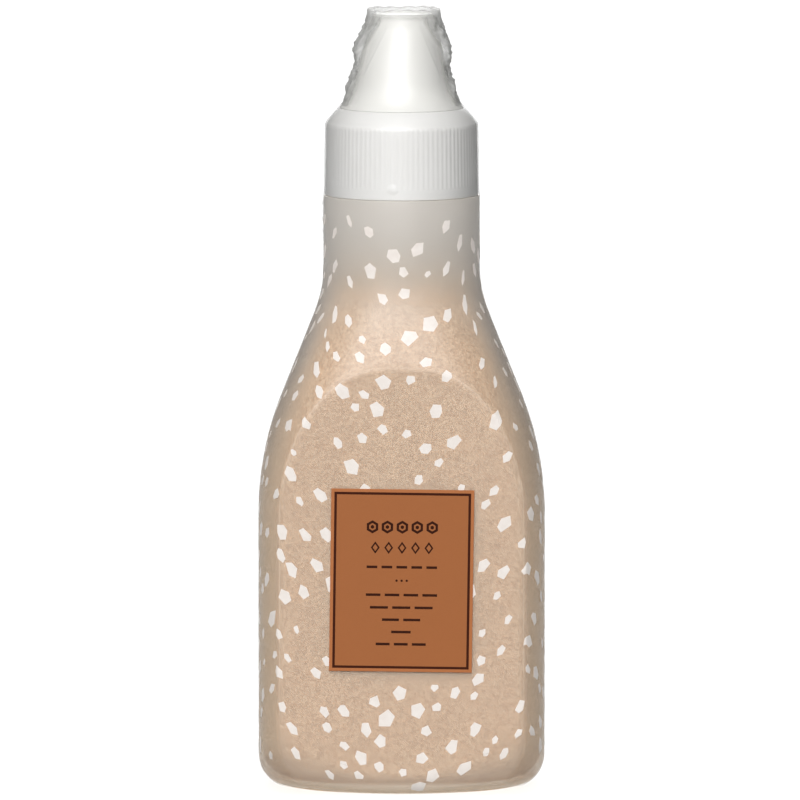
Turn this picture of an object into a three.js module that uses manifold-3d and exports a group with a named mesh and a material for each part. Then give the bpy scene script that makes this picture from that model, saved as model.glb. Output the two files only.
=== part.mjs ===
// Squeeze bottle of brown sugar: a frosted bottle with flat front and back panels, its sugar, a ribbed
// screw closure with a conical spout cover, a clear shrink sleeve over everything and a label.
// Millimetres. The origin is the centre of the base, +Z is up and the label faces -Y.

import Module from 'manifold-3d';
import * as THREE from 'three';
import { mergeVertices } from 'three/addons/utils/BufferGeometryUtils.js';

const wasm = await Module();
wasm.setup();

// ---- Driving dimensions ----

const gap = 0.3; // clear space between pieces that touch
const segments = 48; // sides of each piece that is turned round the axis

// Bottle body
const bodyHalfWidth = 33.5;
const panelHalfDepth = 22.5; // from the axis to the flat front and back panels
const roundDepthRatio = 0.91; // depth over width of the body before its panels are cut flat
const roundness = { neck: 2, body: 3.2 }; // exponents of the section's superellipse
const panelEdgeSoftness = 2.4; // how far the crease round a panel is rounded
const bottleWall = 0.8;
const foot = { halfWidth: 26, halfDepth: 17 }; // the flat ellipse that the bottle stands on

// Bottle neck and shoulder
const neckRadius = 18.05;
const shoulder = { top: 124, bottom: 65, hollowArc: 30, crownArc: 75 };
const squareBelow = 98; // height under which the section has its body shape
const baseTurns = [0, 30, 60, 90]; // rings of the base's rounded edge, in degrees up from the bottom
const sectionHeights = [65, 77, 86, 92.5, 97, 101, 106, 112, 118, 124]; // rings of the shoulder
const neckTop = 141;
const neckEdge = 0.6;
const mouth = { radius: 15.4, wall: 1.4, top: 156.6 }; // the hidden neck that the closure screws on

// Sugar
const sugarLevel = 117.2;
const sugarRelief = 0.9; // how far the dips in the top of the sugar go
const sugarLean = { right: -0.03, back: 0.05 }; // slope of its top, to one side and to the back
const sugarTopRings = [1, 0.72, 0.4]; // rings of its top, as shares of the way out to the wall

// Screw closure
const skirt = { bottom: 141.4, ribsFrom: 144, ribsTo: 158, bottomRadius: 17.75, topRadius: 17.5, edge: 0.3 };
const rib = { count: 92, height: 0.3 };
const closureTop = { height: 161.9, radius: 14.2 };
const closureBulge = 0.45; // how far the sloped shoulder stands out from a straight cone
const closureWall = 1.3;
const nub = { angle: -6.8, height: 144.6, halfWidth: 1.2, halfHeight: 0.75, proud: 0.25 };

// Spout cover
const cover = { footRadius: 14, waistRadius: 12, waist: 165.7, topRadius: 7.3, top: 184, edge: 0.6 };
const coverWall = 1.3;

// Shrink sleeve
const film = 0.25;
const hemAngle = 42; // how far round the base's rounded edge the sleeve ends, in degrees
const rim = { height: 184.9, radius: 8.7, mouthRadius: 6.9, edge: 0.35 };
const ear = { from: 162.5, full: 171.5, widest: 177, radius: 11.05, tuck: 3.5 }; // loose film at each side
const crease = { low: 72, high: 24, width: 30 }; // where an ear starts, in degrees from front or back
const crinkle = 0.3;
const crinkleWaves = [
  { round: 9, lean: 0.55, share: 1 },
  { round: 17, lean: -0.8, share: 0.6 },
]; // waves round the film, their lean in radians for each millimetre of height, and their share
const hoodRings = [162.8, 164.2, 166, 168.5, 171, 173.5, 176, 178.5, 180.5, 182.2, 183.7];

// Label
const label = { width: 33.7, height: 43.3, thickness: 0.25, centre: 51.5, tilt: 0.8 };

// ---- Helpers ----

const degree = Math.PI / 180;
const weld = 1e-4; // vertices closer than this are one

/** Eases from 0 to 1 as value goes from low to high. */
function ease(value, low, high) {
  return THREE.MathUtils.smoothstep(value, low, high);
}

/** The lesser of two lengths, rounded off where they are within softness of each other. */
function softMin(first, second, softness) {
  const overlap = Math.max(softness - Math.abs(first - second), 0) / softness;
  return Math.min(first, second) - (overlap * overlap * softness) / 4;
}

/** Radius of a superellipse in the direction of an angle from the front. */
function superellipse(angle, halfWidth, halfDepth, exponent) {
  const across = Math.abs(Math.sin(angle)) / halfWidth;
  const along = Math.abs(Math.cos(angle)) / halfDepth;
  return (across ** exponent + along ** exponent) ** (-1 / exponent);
}

/** A solid of a closed geometry, with its shared vertices merged and its empty triangles dropped. */
function solidOf(geometry) {
  const bare = geometry.clone();
  bare.deleteAttribute('normal');
  bare.deleteAttribute('uv');
  const merged = mergeVertices(bare, weld);
  const corners = Array.from(merged.index.array);
  const faces = [];
  for (let i = 0; i < corners.length; i += 3) {
    const [a, b, c] = corners.slice(i, i + 3);
    if (a !== b && b !== c && c !== a) faces.push(a, b, c);
  }
  return new wasm.Manifold(new wasm.Mesh({
    numProp: 3,
    vertProperties: new Float32Array(merged.attributes.position.array),
    triVerts: new Uint32Array(faces),
  }));
}

/** The geometry of a solid. */
function geometryOf(solid) {
  const mesh = solid.getMesh();
  const geometry = new THREE.BufferGeometry();
  geometry.setAttribute('position', new THREE.BufferAttribute(mesh.vertProperties, 3));
  geometry.setIndex(new THREE.BufferAttribute(mesh.triVerts, 1));
  geometry.computeVertexNormals();
  return geometry;
}

/**
 * A closed geometry turned round Z. Each station of the profile gives a radius and a height for an angle
 * from the front, so that a ring of it need not be round or level. Each four-sided face is split along the
 * arched crease of the panels, on outer and inner surfaces alike, so that nested pieces keep their gap.
 */
function spin(stations) {
  const steps = stations.map((_, index) => new THREE.Vector2(1, index));
  const geometry = new THREE.LatheGeometry(steps, segments);
  const position = geometry.attributes.position;
  for (let side = 0; side <= segments; side++) {
    const angle = ((side % segments) / segments) * 2 * Math.PI;
    stations.forEach((station, index) => {
      const [radius, height] = station(angle);
      const vertex = side * stations.length + index;
      position.setXYZ(vertex, radius * Math.sin(angle), -radius * Math.cos(angle), height);
    });
  }
  const faces = [];
  for (let side = 0; side < segments; side++) {
    const leftward = Math.floor((4 * side) / segments) % 2 === 1;
    for (let index = 0; index < stations.length - 1; index++) {
      const a = side * stations.length + index;
      const b = a + stations.length;
      const falling = position.getZ(a + 1) < position.getZ(a);
      if (falling === leftward) faces.push(a, b, a + 1, b + 1, a + 1, b);
      else faces.push(a, b, b + 1, a, b + 1, a + 1);
    }
  }
  geometry.setIndex(faces);
  return geometry;
}

/** A station that is a level circle. */
function ring(radius, height) {
  return () => [radius, height];
}

/** A piece of the bottle, as a named mesh. */
function piece(name, geometry, finish) {
  const mesh = new THREE.Mesh(geometry, new THREE.MeshStandardMaterial(finish));
  mesh.name = name;
  return mesh;
}

// ---- Bottle surface, shared by the bottle, the sugar and the sleeve ----

const shoulderRise = shoulder.top - shoulder.bottom;
const shoulderSpread = bodyHalfWidth - neckRadius;
const arcSum = shoulder.hollowArc + shoulder.crownArc;
const straightRun = Math.sqrt(shoulderSpread ** 2 - 2 * arcSum * shoulderSpread + shoulderRise ** 2);
const slope = Math.atan2(shoulderSpread - arcSum, shoulderRise) + Math.atan2(arcSum, straightRun);
const hollowEnd = shoulder.top - shoulder.hollowArc * Math.sin(slope);
const crownStart = shoulder.bottom + shoulder.crownArc * Math.sin(slope);

/** Half width at a height: neck, hollow arc, straight flank, crown arc and body. */
function halfWidth(height) {
  const { top, bottom, hollowArc, crownArc } = shoulder;
  if (height >= top) return neckRadius;
  if (height <= bottom) return bodyHalfWidth;
  const hollow = neckRadius + hollowArc;
  const crown = bodyHalfWidth - crownArc;
  if (height >= hollowEnd) return hollow - Math.sqrt(hollowArc ** 2 - (top - height) ** 2);
  if (height <= crownStart) return crown + Math.sqrt(crownArc ** 2 - (height - bottom) ** 2);
  return neckRadius + hollowArc * (1 - Math.cos(slope)) + (hollowEnd - height) * Math.tan(slope);
}

/** Radius of the bottle's section at a height, offset outwards: a superellipse cut by the two panels. */
function sectionRadius(angle, height, offset) {
  const squareness = 1 - ease(height, squareBelow, shoulder.top);
  const exponent = THREE.MathUtils.lerp(roundness.neck, roundness.body, squareness);
  const depthRatio = THREE.MathUtils.lerp(1, roundDepthRatio, squareness);
  const half = halfWidth(height);
  const round = superellipse(angle, half + offset, half * depthRatio + offset, exponent);
  const flat = (panelHalfDepth + offset) / Math.max(Math.abs(Math.cos(angle)), 1e-3);
  return softMin(round, flat, panelEdgeSoftness);
}

/** A station on the bottle's section at a height. */
function sectionStation(height, offset) {
  return (angle) => [sectionRadius(angle, height, offset), height];
}

/** A station on the rounded edge of the base, by its angle up from the bottom. */
function baseStation(degrees, offset) {
  return (angle) => {
    const footRadius = superellipse(angle, foot.halfWidth, foot.halfDepth, 2);
    const edge = sectionRadius(angle, shoulder.bottom, 0) - footRadius;
    const reach = edge + offset;
    const turn = degrees * degree;
    return [footRadius + reach * Math.sin(turn), edge - reach * Math.cos(turn)];
  };
}

/** The stations of the bottle's surface from its base to the given height, offset outwards. */
function bottleStations(offset, topHeight = Infinity, firstTurn = 0) {
  const turns = [firstTurn, ...baseTurns.filter((turn) => turn > firstTurn)];
  const heights = sectionHeights.filter((height) => height < topHeight);
  return [
    ...turns.map((turn) => baseStation(turn, offset)),
    ...heights.map((height) => sectionStation(height, offset)),
  ];
}

// ---- Pieces ----

/** The hollow bottle, open at its mouth. */
function makeBottle() {
  const outer = bottleStations(0);
  const inner = bottleStations(-bottleWall).reverse();
  return spin([
    ring(0, 0),
    ...outer,
    ring(neckRadius, neckTop - neckEdge),
    ring(neckRadius - neckEdge, neckTop),
    ring(mouth.radius, neckTop),
    ring(mouth.radius, mouth.top),
    ring(mouth.radius - mouth.wall, mouth.top),
    ring(mouth.radius - mouth.wall, neckTop - bottleWall),
    ring(neckRadius - bottleWall, neckTop - mouth.wall - bottleWall),
    ...inner,
    ring(0, bottleWall),
  ]);
}

/** Height of the poured sugar over a point of the plan: a low heap with a few soft dips. */
function sugarHeight(x, y) {
  const lean = sugarLean.right * x + sugarLean.back * y;
  const wide = Math.sin(0.31 * x + 0.9) * Math.cos(0.27 * y - 0.4);
  const narrow = 0.5 * Math.sin(0.36 * x + 0.52 * y);
  return sugarLevel + lean + sugarRelief * (wide + narrow);
}

/** A station on the sugar's top, at a share of its way out to the wall. */
function sugarTopStation(share, offset) {
  return (angle) => {
    const level = share * sectionRadius(angle, sugarLevel, offset);
    const height = sugarHeight(level * Math.sin(angle), -level * Math.cos(angle));
    return [share * sectionRadius(angle, height, offset), height];
  };
}

/** The sugar, which fills the bottle up to the neck. */
function makeSugar() {
  const offset = -bottleWall - gap;
  const lowestRim = sugarLevel - 3 * sugarRelief;
  return spin([
    ring(0, bottleWall + gap),
    ...bottleStations(offset, lowestRim),
    ...sugarTopRings.map((share) => sugarTopStation(share, offset)),
    ring(0, sugarHeight(0, 0)),
  ]);
}

/** The band of fine upright ribs round the closure's skirt. */
function makeRibs() {
  const outline = new THREE.Shape();
  const halfRib = Math.PI / rib.count;
  const ribRadius = skirt.bottomRadius - 0.1;
  for (let index = 0; index < 2 * rib.count; index++) {
    const radius = ribRadius - (index % 2) * rib.height;
    const angle = index * halfRib;
    const point = [radius * Math.sin(angle), -radius * Math.cos(angle)];
    if (index === 0) outline.moveTo(...point);
    else outline.lineTo(...point);
  }
  outline.closePath();
  const hole = new THREE.Path();
  hole.absarc(0, 0, skirt.topRadius - 3.5 * rib.height, 0, 2 * Math.PI, true); // hidden inside the skirt
  outline.holes.push(hole);
  const depth = skirt.ribsTo - skirt.ribsFrom;
  const settings = { depth, bevelEnabled: false, curveSegments: segments / 4 };
  const geometry = new THREE.ExtrudeGeometry(outline, settings);
  const position = geometry.attributes.position;
  const taper = (ribRadius - skirt.topRadius) / depth / ribRadius;
  for (let vertex = 0; vertex < position.count; vertex++) {
    const scale = 1 - taper * position.getZ(vertex);
    position.setX(vertex, position.getX(vertex) * scale);
    position.setY(vertex, position.getY(vertex) * scale);
  }
  geometry.translate(0, 0, skirt.ribsFrom);
  return geometry;
}

/** The raised nub low on the front of the skirt. */
function makeNub() {
  const geometry = new THREE.SphereGeometry(1, 10, 6);
  geometry.scale(nub.halfWidth, nub.proud, nub.halfHeight);
  geometry.translate(0, -skirt.bottomRadius, nub.height);
  geometry.rotateZ(nub.angle * degree);
  return geometry;
}

/** The middle of the closure's sloped shoulder. */
const closureBend = {
  radius: (skirt.topRadius + closureTop.radius) / 2 + closureBulge,
  height: (skirt.ribsTo + closureTop.height) / 2 + closureBulge,
};

/** The screw closure: a ribbed skirt, a sloped shoulder and a flat top, hollow from below. */
function makeClosure() {
  const boreRadius = skirt.bottomRadius - closureWall - rib.height;
  const underRibs = 2 * rib.height;
  const shell = spin([
    ring(boreRadius, skirt.bottom),
    ring(skirt.bottomRadius - skirt.edge, skirt.bottom),
    ring(skirt.bottomRadius, skirt.bottom + skirt.edge),
    ring(skirt.bottomRadius, skirt.ribsFrom + skirt.edge),
    ring(skirt.bottomRadius - underRibs, skirt.ribsFrom + skirt.edge),
    ring(skirt.topRadius - underRibs, skirt.ribsTo - skirt.edge),
    ring(skirt.topRadius - skirt.edge, skirt.ribsTo + skirt.edge),
    ring(closureBend.radius, closureBend.height),
    ring(closureTop.radius, closureTop.height),
    ring(0, closureTop.height),
    ring(0, closureTop.height - closureWall),
    ring(closureTop.radius - closureWall, closureTop.height - closureWall),
    ring(boreRadius, skirt.ribsTo - skirt.edge),
    ring(boreRadius, skirt.bottom),
  ]);
  return geometryOf(solidOf(shell).add(solidOf(makeRibs())).add(solidOf(makeNub())));
}

/** Outer radius of the spout cover at a height: a hollow flare, then a straight cone. */
function coverRadius(height) {
  const { footRadius, waistRadius, waist, topRadius, top } = cover;
  if (height >= waist) return THREE.MathUtils.mapLinear(height, waist, top, waistRadius, topRadius);
  const coneSlope = (waistRadius - topRadius) / (top - waist);
  const drop = waist - height;
  const footDrop = waist - closureTop.height - gap;
  const spread = footRadius - waistRadius - coneSlope * footDrop;
  return waistRadius + coneSlope * drop + spread * (drop / footDrop) ** 2;
}

/** The conical spout cover, hollow from below. */
function makeCover() {
  const bottom = closureTop.height + gap;
  const heights = [bottom, bottom + 1, bottom + 2.2, cover.waist, (cover.waist + cover.top) / 2];
  const inside = [cover.top - coverWall, cover.waist, bottom];
  return geometryOf(solidOf(spin([
    ...heights.map((height) => ring(coverRadius(height), height)),
    ring(coverRadius(cover.top - cover.edge), cover.top - cover.edge),
    ring(coverRadius(cover.top) - cover.edge, cover.top),
    ring(0, cover.top),
    ring(0, cover.top - coverWall),
    ...inside.map((height) => ring(coverRadius(height) - coverWall, height)),
    ring(coverRadius(bottom), bottom),
  ])));
}

/** Outer radius of the sleeve where it stands off the cover at the sides, in two folded ears. */
function earRadius(height) {
  const low = coverRadius(ear.from) + gap + film;
  const out = THREE.MathUtils.lerp(low, ear.radius, ease(height, ear.from, ear.full));
  return THREE.MathUtils.lerp(out, rim.radius, ease(height, ear.widest, ear.widest + ear.tuck));
}

/** Outer radius of the sleeve over the spout cover: tight at front and back, loose at the sides. */
function hoodRadius(angle, height) {
  const tight = coverRadius(height) + gap + film;
  const fromFace = Math.abs(Math.asin(Math.sin(angle))) / degree;
  const start = THREE.MathUtils.mapLinear(height, ear.from, cover.top, crease.low, crease.high);
  const rimShare = ease(height, ear.widest + ear.tuck, cover.top);
  const loose = Math.max(ease(fromFace, start, start + crease.width), rimShare);
  const folds = crinkleWaves.map(({ round, lean, share }) => share * Math.sin(round * angle + lean * height));
  const relief = crinkle * loose * (1 - rimShare) * folds.reduce((sum, fold) => sum + fold, 0);
  return Math.max(tight, THREE.MathUtils.lerp(tight, earRadius(height), loose) + relief);
}

/** The stations of the sleeve, from its hem to its mouth, on its outer or its inner face. */
function sleeveStations(inwards) {
  const offset = gap + film - inwards;
  const lip = rim.height - inwards;
  return [
    ...bottleStations(offset, Infinity, hemAngle),
    ring(neckRadius + offset, neckTop),
    ring(skirt.bottomRadius + offset + nub.proud / 2, skirt.ribsFrom),
    ring(skirt.topRadius + offset, skirt.ribsTo),
    ring(closureBend.radius + offset, closureBend.height + offset / 2),
    ...hoodRings.map((height) => (angle) => [hoodRadius(angle, height) - inwards, height]),
    ring(rim.radius - inwards, lip - rim.edge),
    ring(rim.radius - rim.edge - inwards, lip),
    ring(rim.mouthRadius, lip),
  ];
}

/** The shrink sleeve: one skin of film from the base's edge to the rim over the spout cover. */
function makeSleeve() {
  const outer = sleeveStations(0);
  const inner = sleeveStations(film).reverse();
  return geometryOf(solidOf(spin([...outer, ...inner, outer[0]])));
}

/** The flat label on the front panel. */
function makeLabel() {
  const geometry = new THREE.BoxGeometry(label.width, label.thickness, label.height);
  geometry.rotateY(label.tilt * degree);
  geometry.translate(0, -(panelHalfDepth + 2 * gap + film + label.thickness / 2), label.centre);
  return geometry;
}

// ---- Assembly ----

const group = new THREE.Group();
group.add(
  piece('bottle', geometryOf(solidOf(makeBottle())), { color: 0xd9d6ce, roughness: 0.45, metalness: 0 }),
  piece('sugar', geometryOf(solidOf(makeSugar())), { color: 0xd2b79d, roughness: 0.95, metalness: 0 }),
  piece('closure', makeClosure(), { color: 0xf0efea, roughness: 0.4, metalness: 0 }),
  piece('spout_cover', makeCover(), { color: 0xf8f8f4, roughness: 0.4, metalness: 0 }),
  piece('shrink_sleeve', makeSleeve(), { color: 0xe8ebea, roughness: 0.15, metalness: 0 }),
  piece('label', makeLabel(), { color: 0xa66a45, roughness: 0.6, metalness: 0 }),
);

export default group;
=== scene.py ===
"""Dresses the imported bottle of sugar: frosted wall, sugar, closure, clear film, printed polygons and label.

Sizes in the classes are in millimetres and become metres when a mesh is made. The origin is the centre of
the base, +Z is up and the label faces -Y. Angles go round the axis from the front, towards +X.
"""

import logging
import math
from abc import ABC, abstractmethod
from collections.abc import Callable, Sequence
from dataclasses import dataclass, field
from enum import Enum
from functools import partial
from typing import Any

import bpy
import numpy as np
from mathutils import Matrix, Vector


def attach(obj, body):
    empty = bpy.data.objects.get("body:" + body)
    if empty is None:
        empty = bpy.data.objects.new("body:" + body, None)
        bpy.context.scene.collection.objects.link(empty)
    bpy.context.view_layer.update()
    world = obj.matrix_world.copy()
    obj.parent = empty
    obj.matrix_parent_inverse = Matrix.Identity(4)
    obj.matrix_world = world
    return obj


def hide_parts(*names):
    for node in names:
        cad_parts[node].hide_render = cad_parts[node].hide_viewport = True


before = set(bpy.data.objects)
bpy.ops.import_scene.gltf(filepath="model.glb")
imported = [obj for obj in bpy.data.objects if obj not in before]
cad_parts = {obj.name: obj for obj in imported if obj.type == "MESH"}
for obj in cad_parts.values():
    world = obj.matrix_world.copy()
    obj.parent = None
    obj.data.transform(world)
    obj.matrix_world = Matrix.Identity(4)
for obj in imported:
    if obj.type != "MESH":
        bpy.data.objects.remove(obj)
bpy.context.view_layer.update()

LOG = logging.getLogger("bottle_of_sugar")
MM = 0.001
BODY = "root"

Array = np.ndarray
Face = tuple[int, ...]
Place = tuple[Array, Array]
Station = Callable[[Array], Place]
Colour = tuple[float, float, float, float]
Node = bpy.types.Node
Piece = bpy.types.Object
Socket = bpy.types.NodeSocket
Tree = bpy.types.NodeTree

COLOURS = {"data_type": "RGBA"}
FROM, TO = 6, 7  # the places of a mix's two colours among its inputs
EASED = {"interpolation_type": "SMOOTHSTEP"}
MULTIPLY_ADD = {"operation": "MULTIPLY_ADD"}
PRODUCT = {"operation": "MULTIPLY", "use_clamp": True}
NOISE_SPAN = {"From Min": 0.3, "From Max": 0.7}  # nearly all values of a noise lie between these


# ---- Numbers, colours and places ----


def linear(hex_colour: str) -> Colour:
    """Turns an sRGB hex colour into linear light.

    Args:
        hex_colour: Six hex digits after a hash, such as "#d0b59c".

    Returns:
        Red, green and blue in linear light, and an alpha of 1.
    """
    shares = [int(hex_colour[i : i + 2], 16) / 255 for i in (1, 3, 5)]
    red, green, blue = (s / 12.92 if s <= 0.04045 else ((s + 0.055) / 1.055) ** 2.4 for s in shares)
    return red, green, blue, 1.0


def ease(value: Array, low: float, high: float) -> Array:
    """Eases from 0 to 1 as value goes from low to high."""
    share = np.clip((value - low) / (high - low), 0, 1)
    return share * share * (3 - 2 * share)


def blend(first: Any, second: Any, share: Any) -> Any:
    """Goes in a straight line from first to second as share goes from 0 to 1."""
    return first + (second - first) * share


def from_direction(angle: Array, degrees: float) -> Array:
    """Gives how far angles are from a direction, from minus to plus half a turn."""
    return (angle - math.radians(degrees) + math.pi) % (2 * math.pi) - math.pi


def around_axis(radius: Array, angle: Array, height: Array) -> Array:
    """Gives points in three columns from radii, angles from the front and heights."""
    return np.column_stack([radius * np.sin(angle), -radius * np.cos(angle), height])


def soft_min(first: Array, second: Array, softness: float) -> Array:
    """Gives the lesser of two lengths, rounded off where they are within softness of each other."""
    overlap = np.maximum(softness - np.abs(first - second), 0) / softness
    return np.minimum(first, second) - overlap**2 * softness / 4


def superellipse(angle: Array, half_width: Any, half_depth: Any, exponent: Any) -> Array:
    """Gives the radius of a superellipse in the direction of an angle from the front.

    Args:
        angle: Angles from the front, in radians.
        half_width: Half its width, along X.
        half_depth: Half its depth, along Y.
        exponent: 2 for an ellipse, and more for squarer corners.

    Returns:
        The radius at each angle.
    """
    across = np.abs(np.sin(angle)) / half_width
    along = np.abs(np.cos(angle)) / half_depth
    return (across**exponent + along**exponent) ** (-1 / exponent)


def lattice_noise(points: Array, seed: int) -> Array:
    """Gives smooth random values that repeat exactly on each run.

    Args:
        points: An array of three columns, whose unit is one cell of the noise.
        seed: Picks one of many noises.

    Returns:
        A value from -1 to 1 for each point.
    """
    cell = np.floor(points).astype(np.int64)
    inside = points - cell
    weight = inside * inside * (3 - 2 * inside)
    total = np.zeros(len(points))
    for corner in np.ndindex(2, 2, 2):
        at = cell + np.array(corner)
        key = at[:, 0] * 73856093 ^ at[:, 1] * 19349663 ^ at[:, 2] * 83492791 ^ seed * 2654435761
        key = (key ^ (key >> 13)) * 1274126177 & 0xFFFFFFFF
        key = (key ^ (key >> 16)) & 0xFFFF
        share = np.prod(np.where(np.array(corner) == 1, weight, 1 - weight), axis=1)
        total += share * (key / 32767.5 - 1)
    return total


# ---- Meshes ----


@dataclass
class Shape:
    """A mesh that is being built, in millimetres."""

    points: Array
    faces: list[Face]
    bands: list[int] = field(default_factory=list)


def join(shapes: Sequence[Shape]) -> Shape:
    """Makes one shape of many.

    Args:
        shapes: The shapes, without bands.

    Returns:
        The whole, in their order.
    """
    faces: list[Face] = []
    count = 0
    for shape in shapes:
        faces += [tuple(count + index for index in face) for face in shape.faces]
        count += len(shape.points)
    return Shape(np.vstack([shape.points for shape in shapes]), faces)


def ring(radius: float, height: float) -> Station:
    """Gives a station that is a level circle."""
    return lambda angles: (np.full_like(angles, radius), np.full_like(angles, height))


def level(radius: Callable[[Array, Array], Array], height: float) -> Station:
    """Gives a station at one height, from what gives the radius at angles and heights."""
    return lambda angles: (radius(angles, np.full_like(angles, height)), np.full_like(angles, height))


def spin(stations: Sequence[Station], sides: int, closed: bool = False) -> Shape:
    """Turns a row of stations round the axis.

    Args:
        stations: Each gives radii and heights for angles from the front. Up the outside and down the
            inside gives faces that look outwards.
        sides: How many sides each ring has.
        closed: True if the last station joins the first, as in a sleeve that is open at both ends.

    Returns:
        The shape. Its bands say which pair of stations each face lies between.
    """
    angles = np.arange(sides) * (2 * math.pi / sides)
    points: list[Array] = []
    rows: list[Array] = []
    count = 0
    for station in stations:
        radius, height = station(angles)
        if np.max(np.abs(radius)) < 1e-6:
            points.append(np.array([[0.0, 0.0, height[0]]]))
            rows.append(np.full(sides, count))
            count += 1
        else:
            points.append(around_axis(radius, angles, height))
            rows.append(np.arange(sides) + count)
            count += sides
    pairs = list(zip(rows, rows[1:]))
    if closed:
        pairs.append((rows[-1], rows[0]))
    faces: list[Face] = []
    bands: list[int] = []
    for band, (low, high) in enumerate(pairs):
        quads = np.column_stack([low, np.roll(low, -1), np.roll(high, -1), high])
        for quad in quads.tolist():
            corners = tuple(dict.fromkeys(quad))
            if len(corners) > 2:
                faces.append(corners)
                bands.append(band)
    return Shape(np.vstack(points), faces, bands)


def add_object(name: str, data: bpy.types.ID) -> Piece:
    """Makes an object of a mesh, lamp or camera, and puts it in the scene.

    Args:
        name: What it is called.
        data: The mesh, lamp or camera.

    Returns:
        The object.
    """
    made = bpy.data.objects.new(name, data)
    bpy.context.scene.collection.objects.link(made)
    return made


def place(
    name: str,
    shape: Shape,
    finishes: Sequence[bpy.types.Material],
    stands_for: Sequence[str] = (),
    smooth: bool = True,
) -> Piece:
    """Makes a piece of the bottle, which rides on its body.

    Args:
        name: The piece's name.
        shape: Its mesh, whose bands pick a finish for each face where there are several.
        finishes: Its materials.
        stands_for: CAD nodes that it replaces.
        smooth: True for smooth shading.

    Returns:
        The new object.
    """
    mesh = bpy.data.meshes.new(name)
    mesh.from_pydata((shape.points * MM).tolist(), [], shape.faces)
    for finish in finishes:
        mesh.materials.append(finish)
    if len(finishes) > 1:
        mesh.polygons.foreach_set("material_index", shape.bands)
    if smooth:
        mesh.shade_smooth()
    mesh.update()
    piece = add_object(name, mesh)
    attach(piece, BODY)
    if stands_for:
        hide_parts(*stands_for)
    return piece


# ---- Materials ----


@dataclass(frozen=True)
class FilmFold:
    """Where the film starts to stand off the cover, in degrees from its front and back."""

    height: float = 181.0
    degrees: float = 43.0
    lean: float = 4.0
    most: float = 62.0

    def start(self, height: Array) -> Array:
        """Gives where it starts at each height: further round the lower it is."""
        return np.minimum(self.degrees + self.lean * (self.height - height), self.most)


def add_node(tree: Tree, kind: str, settings: dict[str | int, Any]) -> Node:
    """Adds a node with its settings and links.

    Args:
        tree: The node tree that it goes into.
        kind: The node's type name without its beginning, "ShaderNode".
        settings: Properties by name, and inputs by name or number. An input takes a value or is linked to
            a socket, and a node stands for its first output in use.

    Returns:
        The new node.
    """
    node = tree.nodes.new("ShaderNode" + kind)
    for key, value in settings.items():
        if isinstance(value, bpy.types.Node):
            value = next(output for output in value.outputs if output.enabled)
        if isinstance(value, bpy.types.NodeSocket):
            tree.links.new(value, node.inputs[key])
        elif isinstance(key, int) or key in node.inputs:
            node.inputs[key].default_value = value
        else:
            setattr(node, key, value)
    return node


def pattern(spot: Socket, size: float, detail: float = 2.0) -> dict[str | int, Any]:
    """Gives a texture's settings where its cells are this many millimetres across."""
    return {"Vector": spot, "Scale": 1 / (size * MM), "Detail": detail}


class Finish(ABC):
    """A real material and how its surface was made, as nodes."""

    @abstractmethod
    def surface(self, tree: Tree, spot: Socket) -> Node:
        """Adds the nodes of the surface.

        Args:
            tree: The material's nodes.
            spot: The place on the piece, in metres.

        Returns:
            The last shader node.
        """

    def build(self, name: str) -> bpy.types.Material:
        """Makes the material.

        Args:
            name: The material's name.

        Returns:
            The material.
        """
        material = bpy.data.materials.new(name)
        material.use_nodes = True
        tree = material.node_tree
        tree.nodes.clear()
        spot = add_node(tree, "TexCoord", {}).outputs["Object"]
        add_node(tree, "OutputMaterial", {"Surface": self.surface(tree, spot)})
        return material


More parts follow.
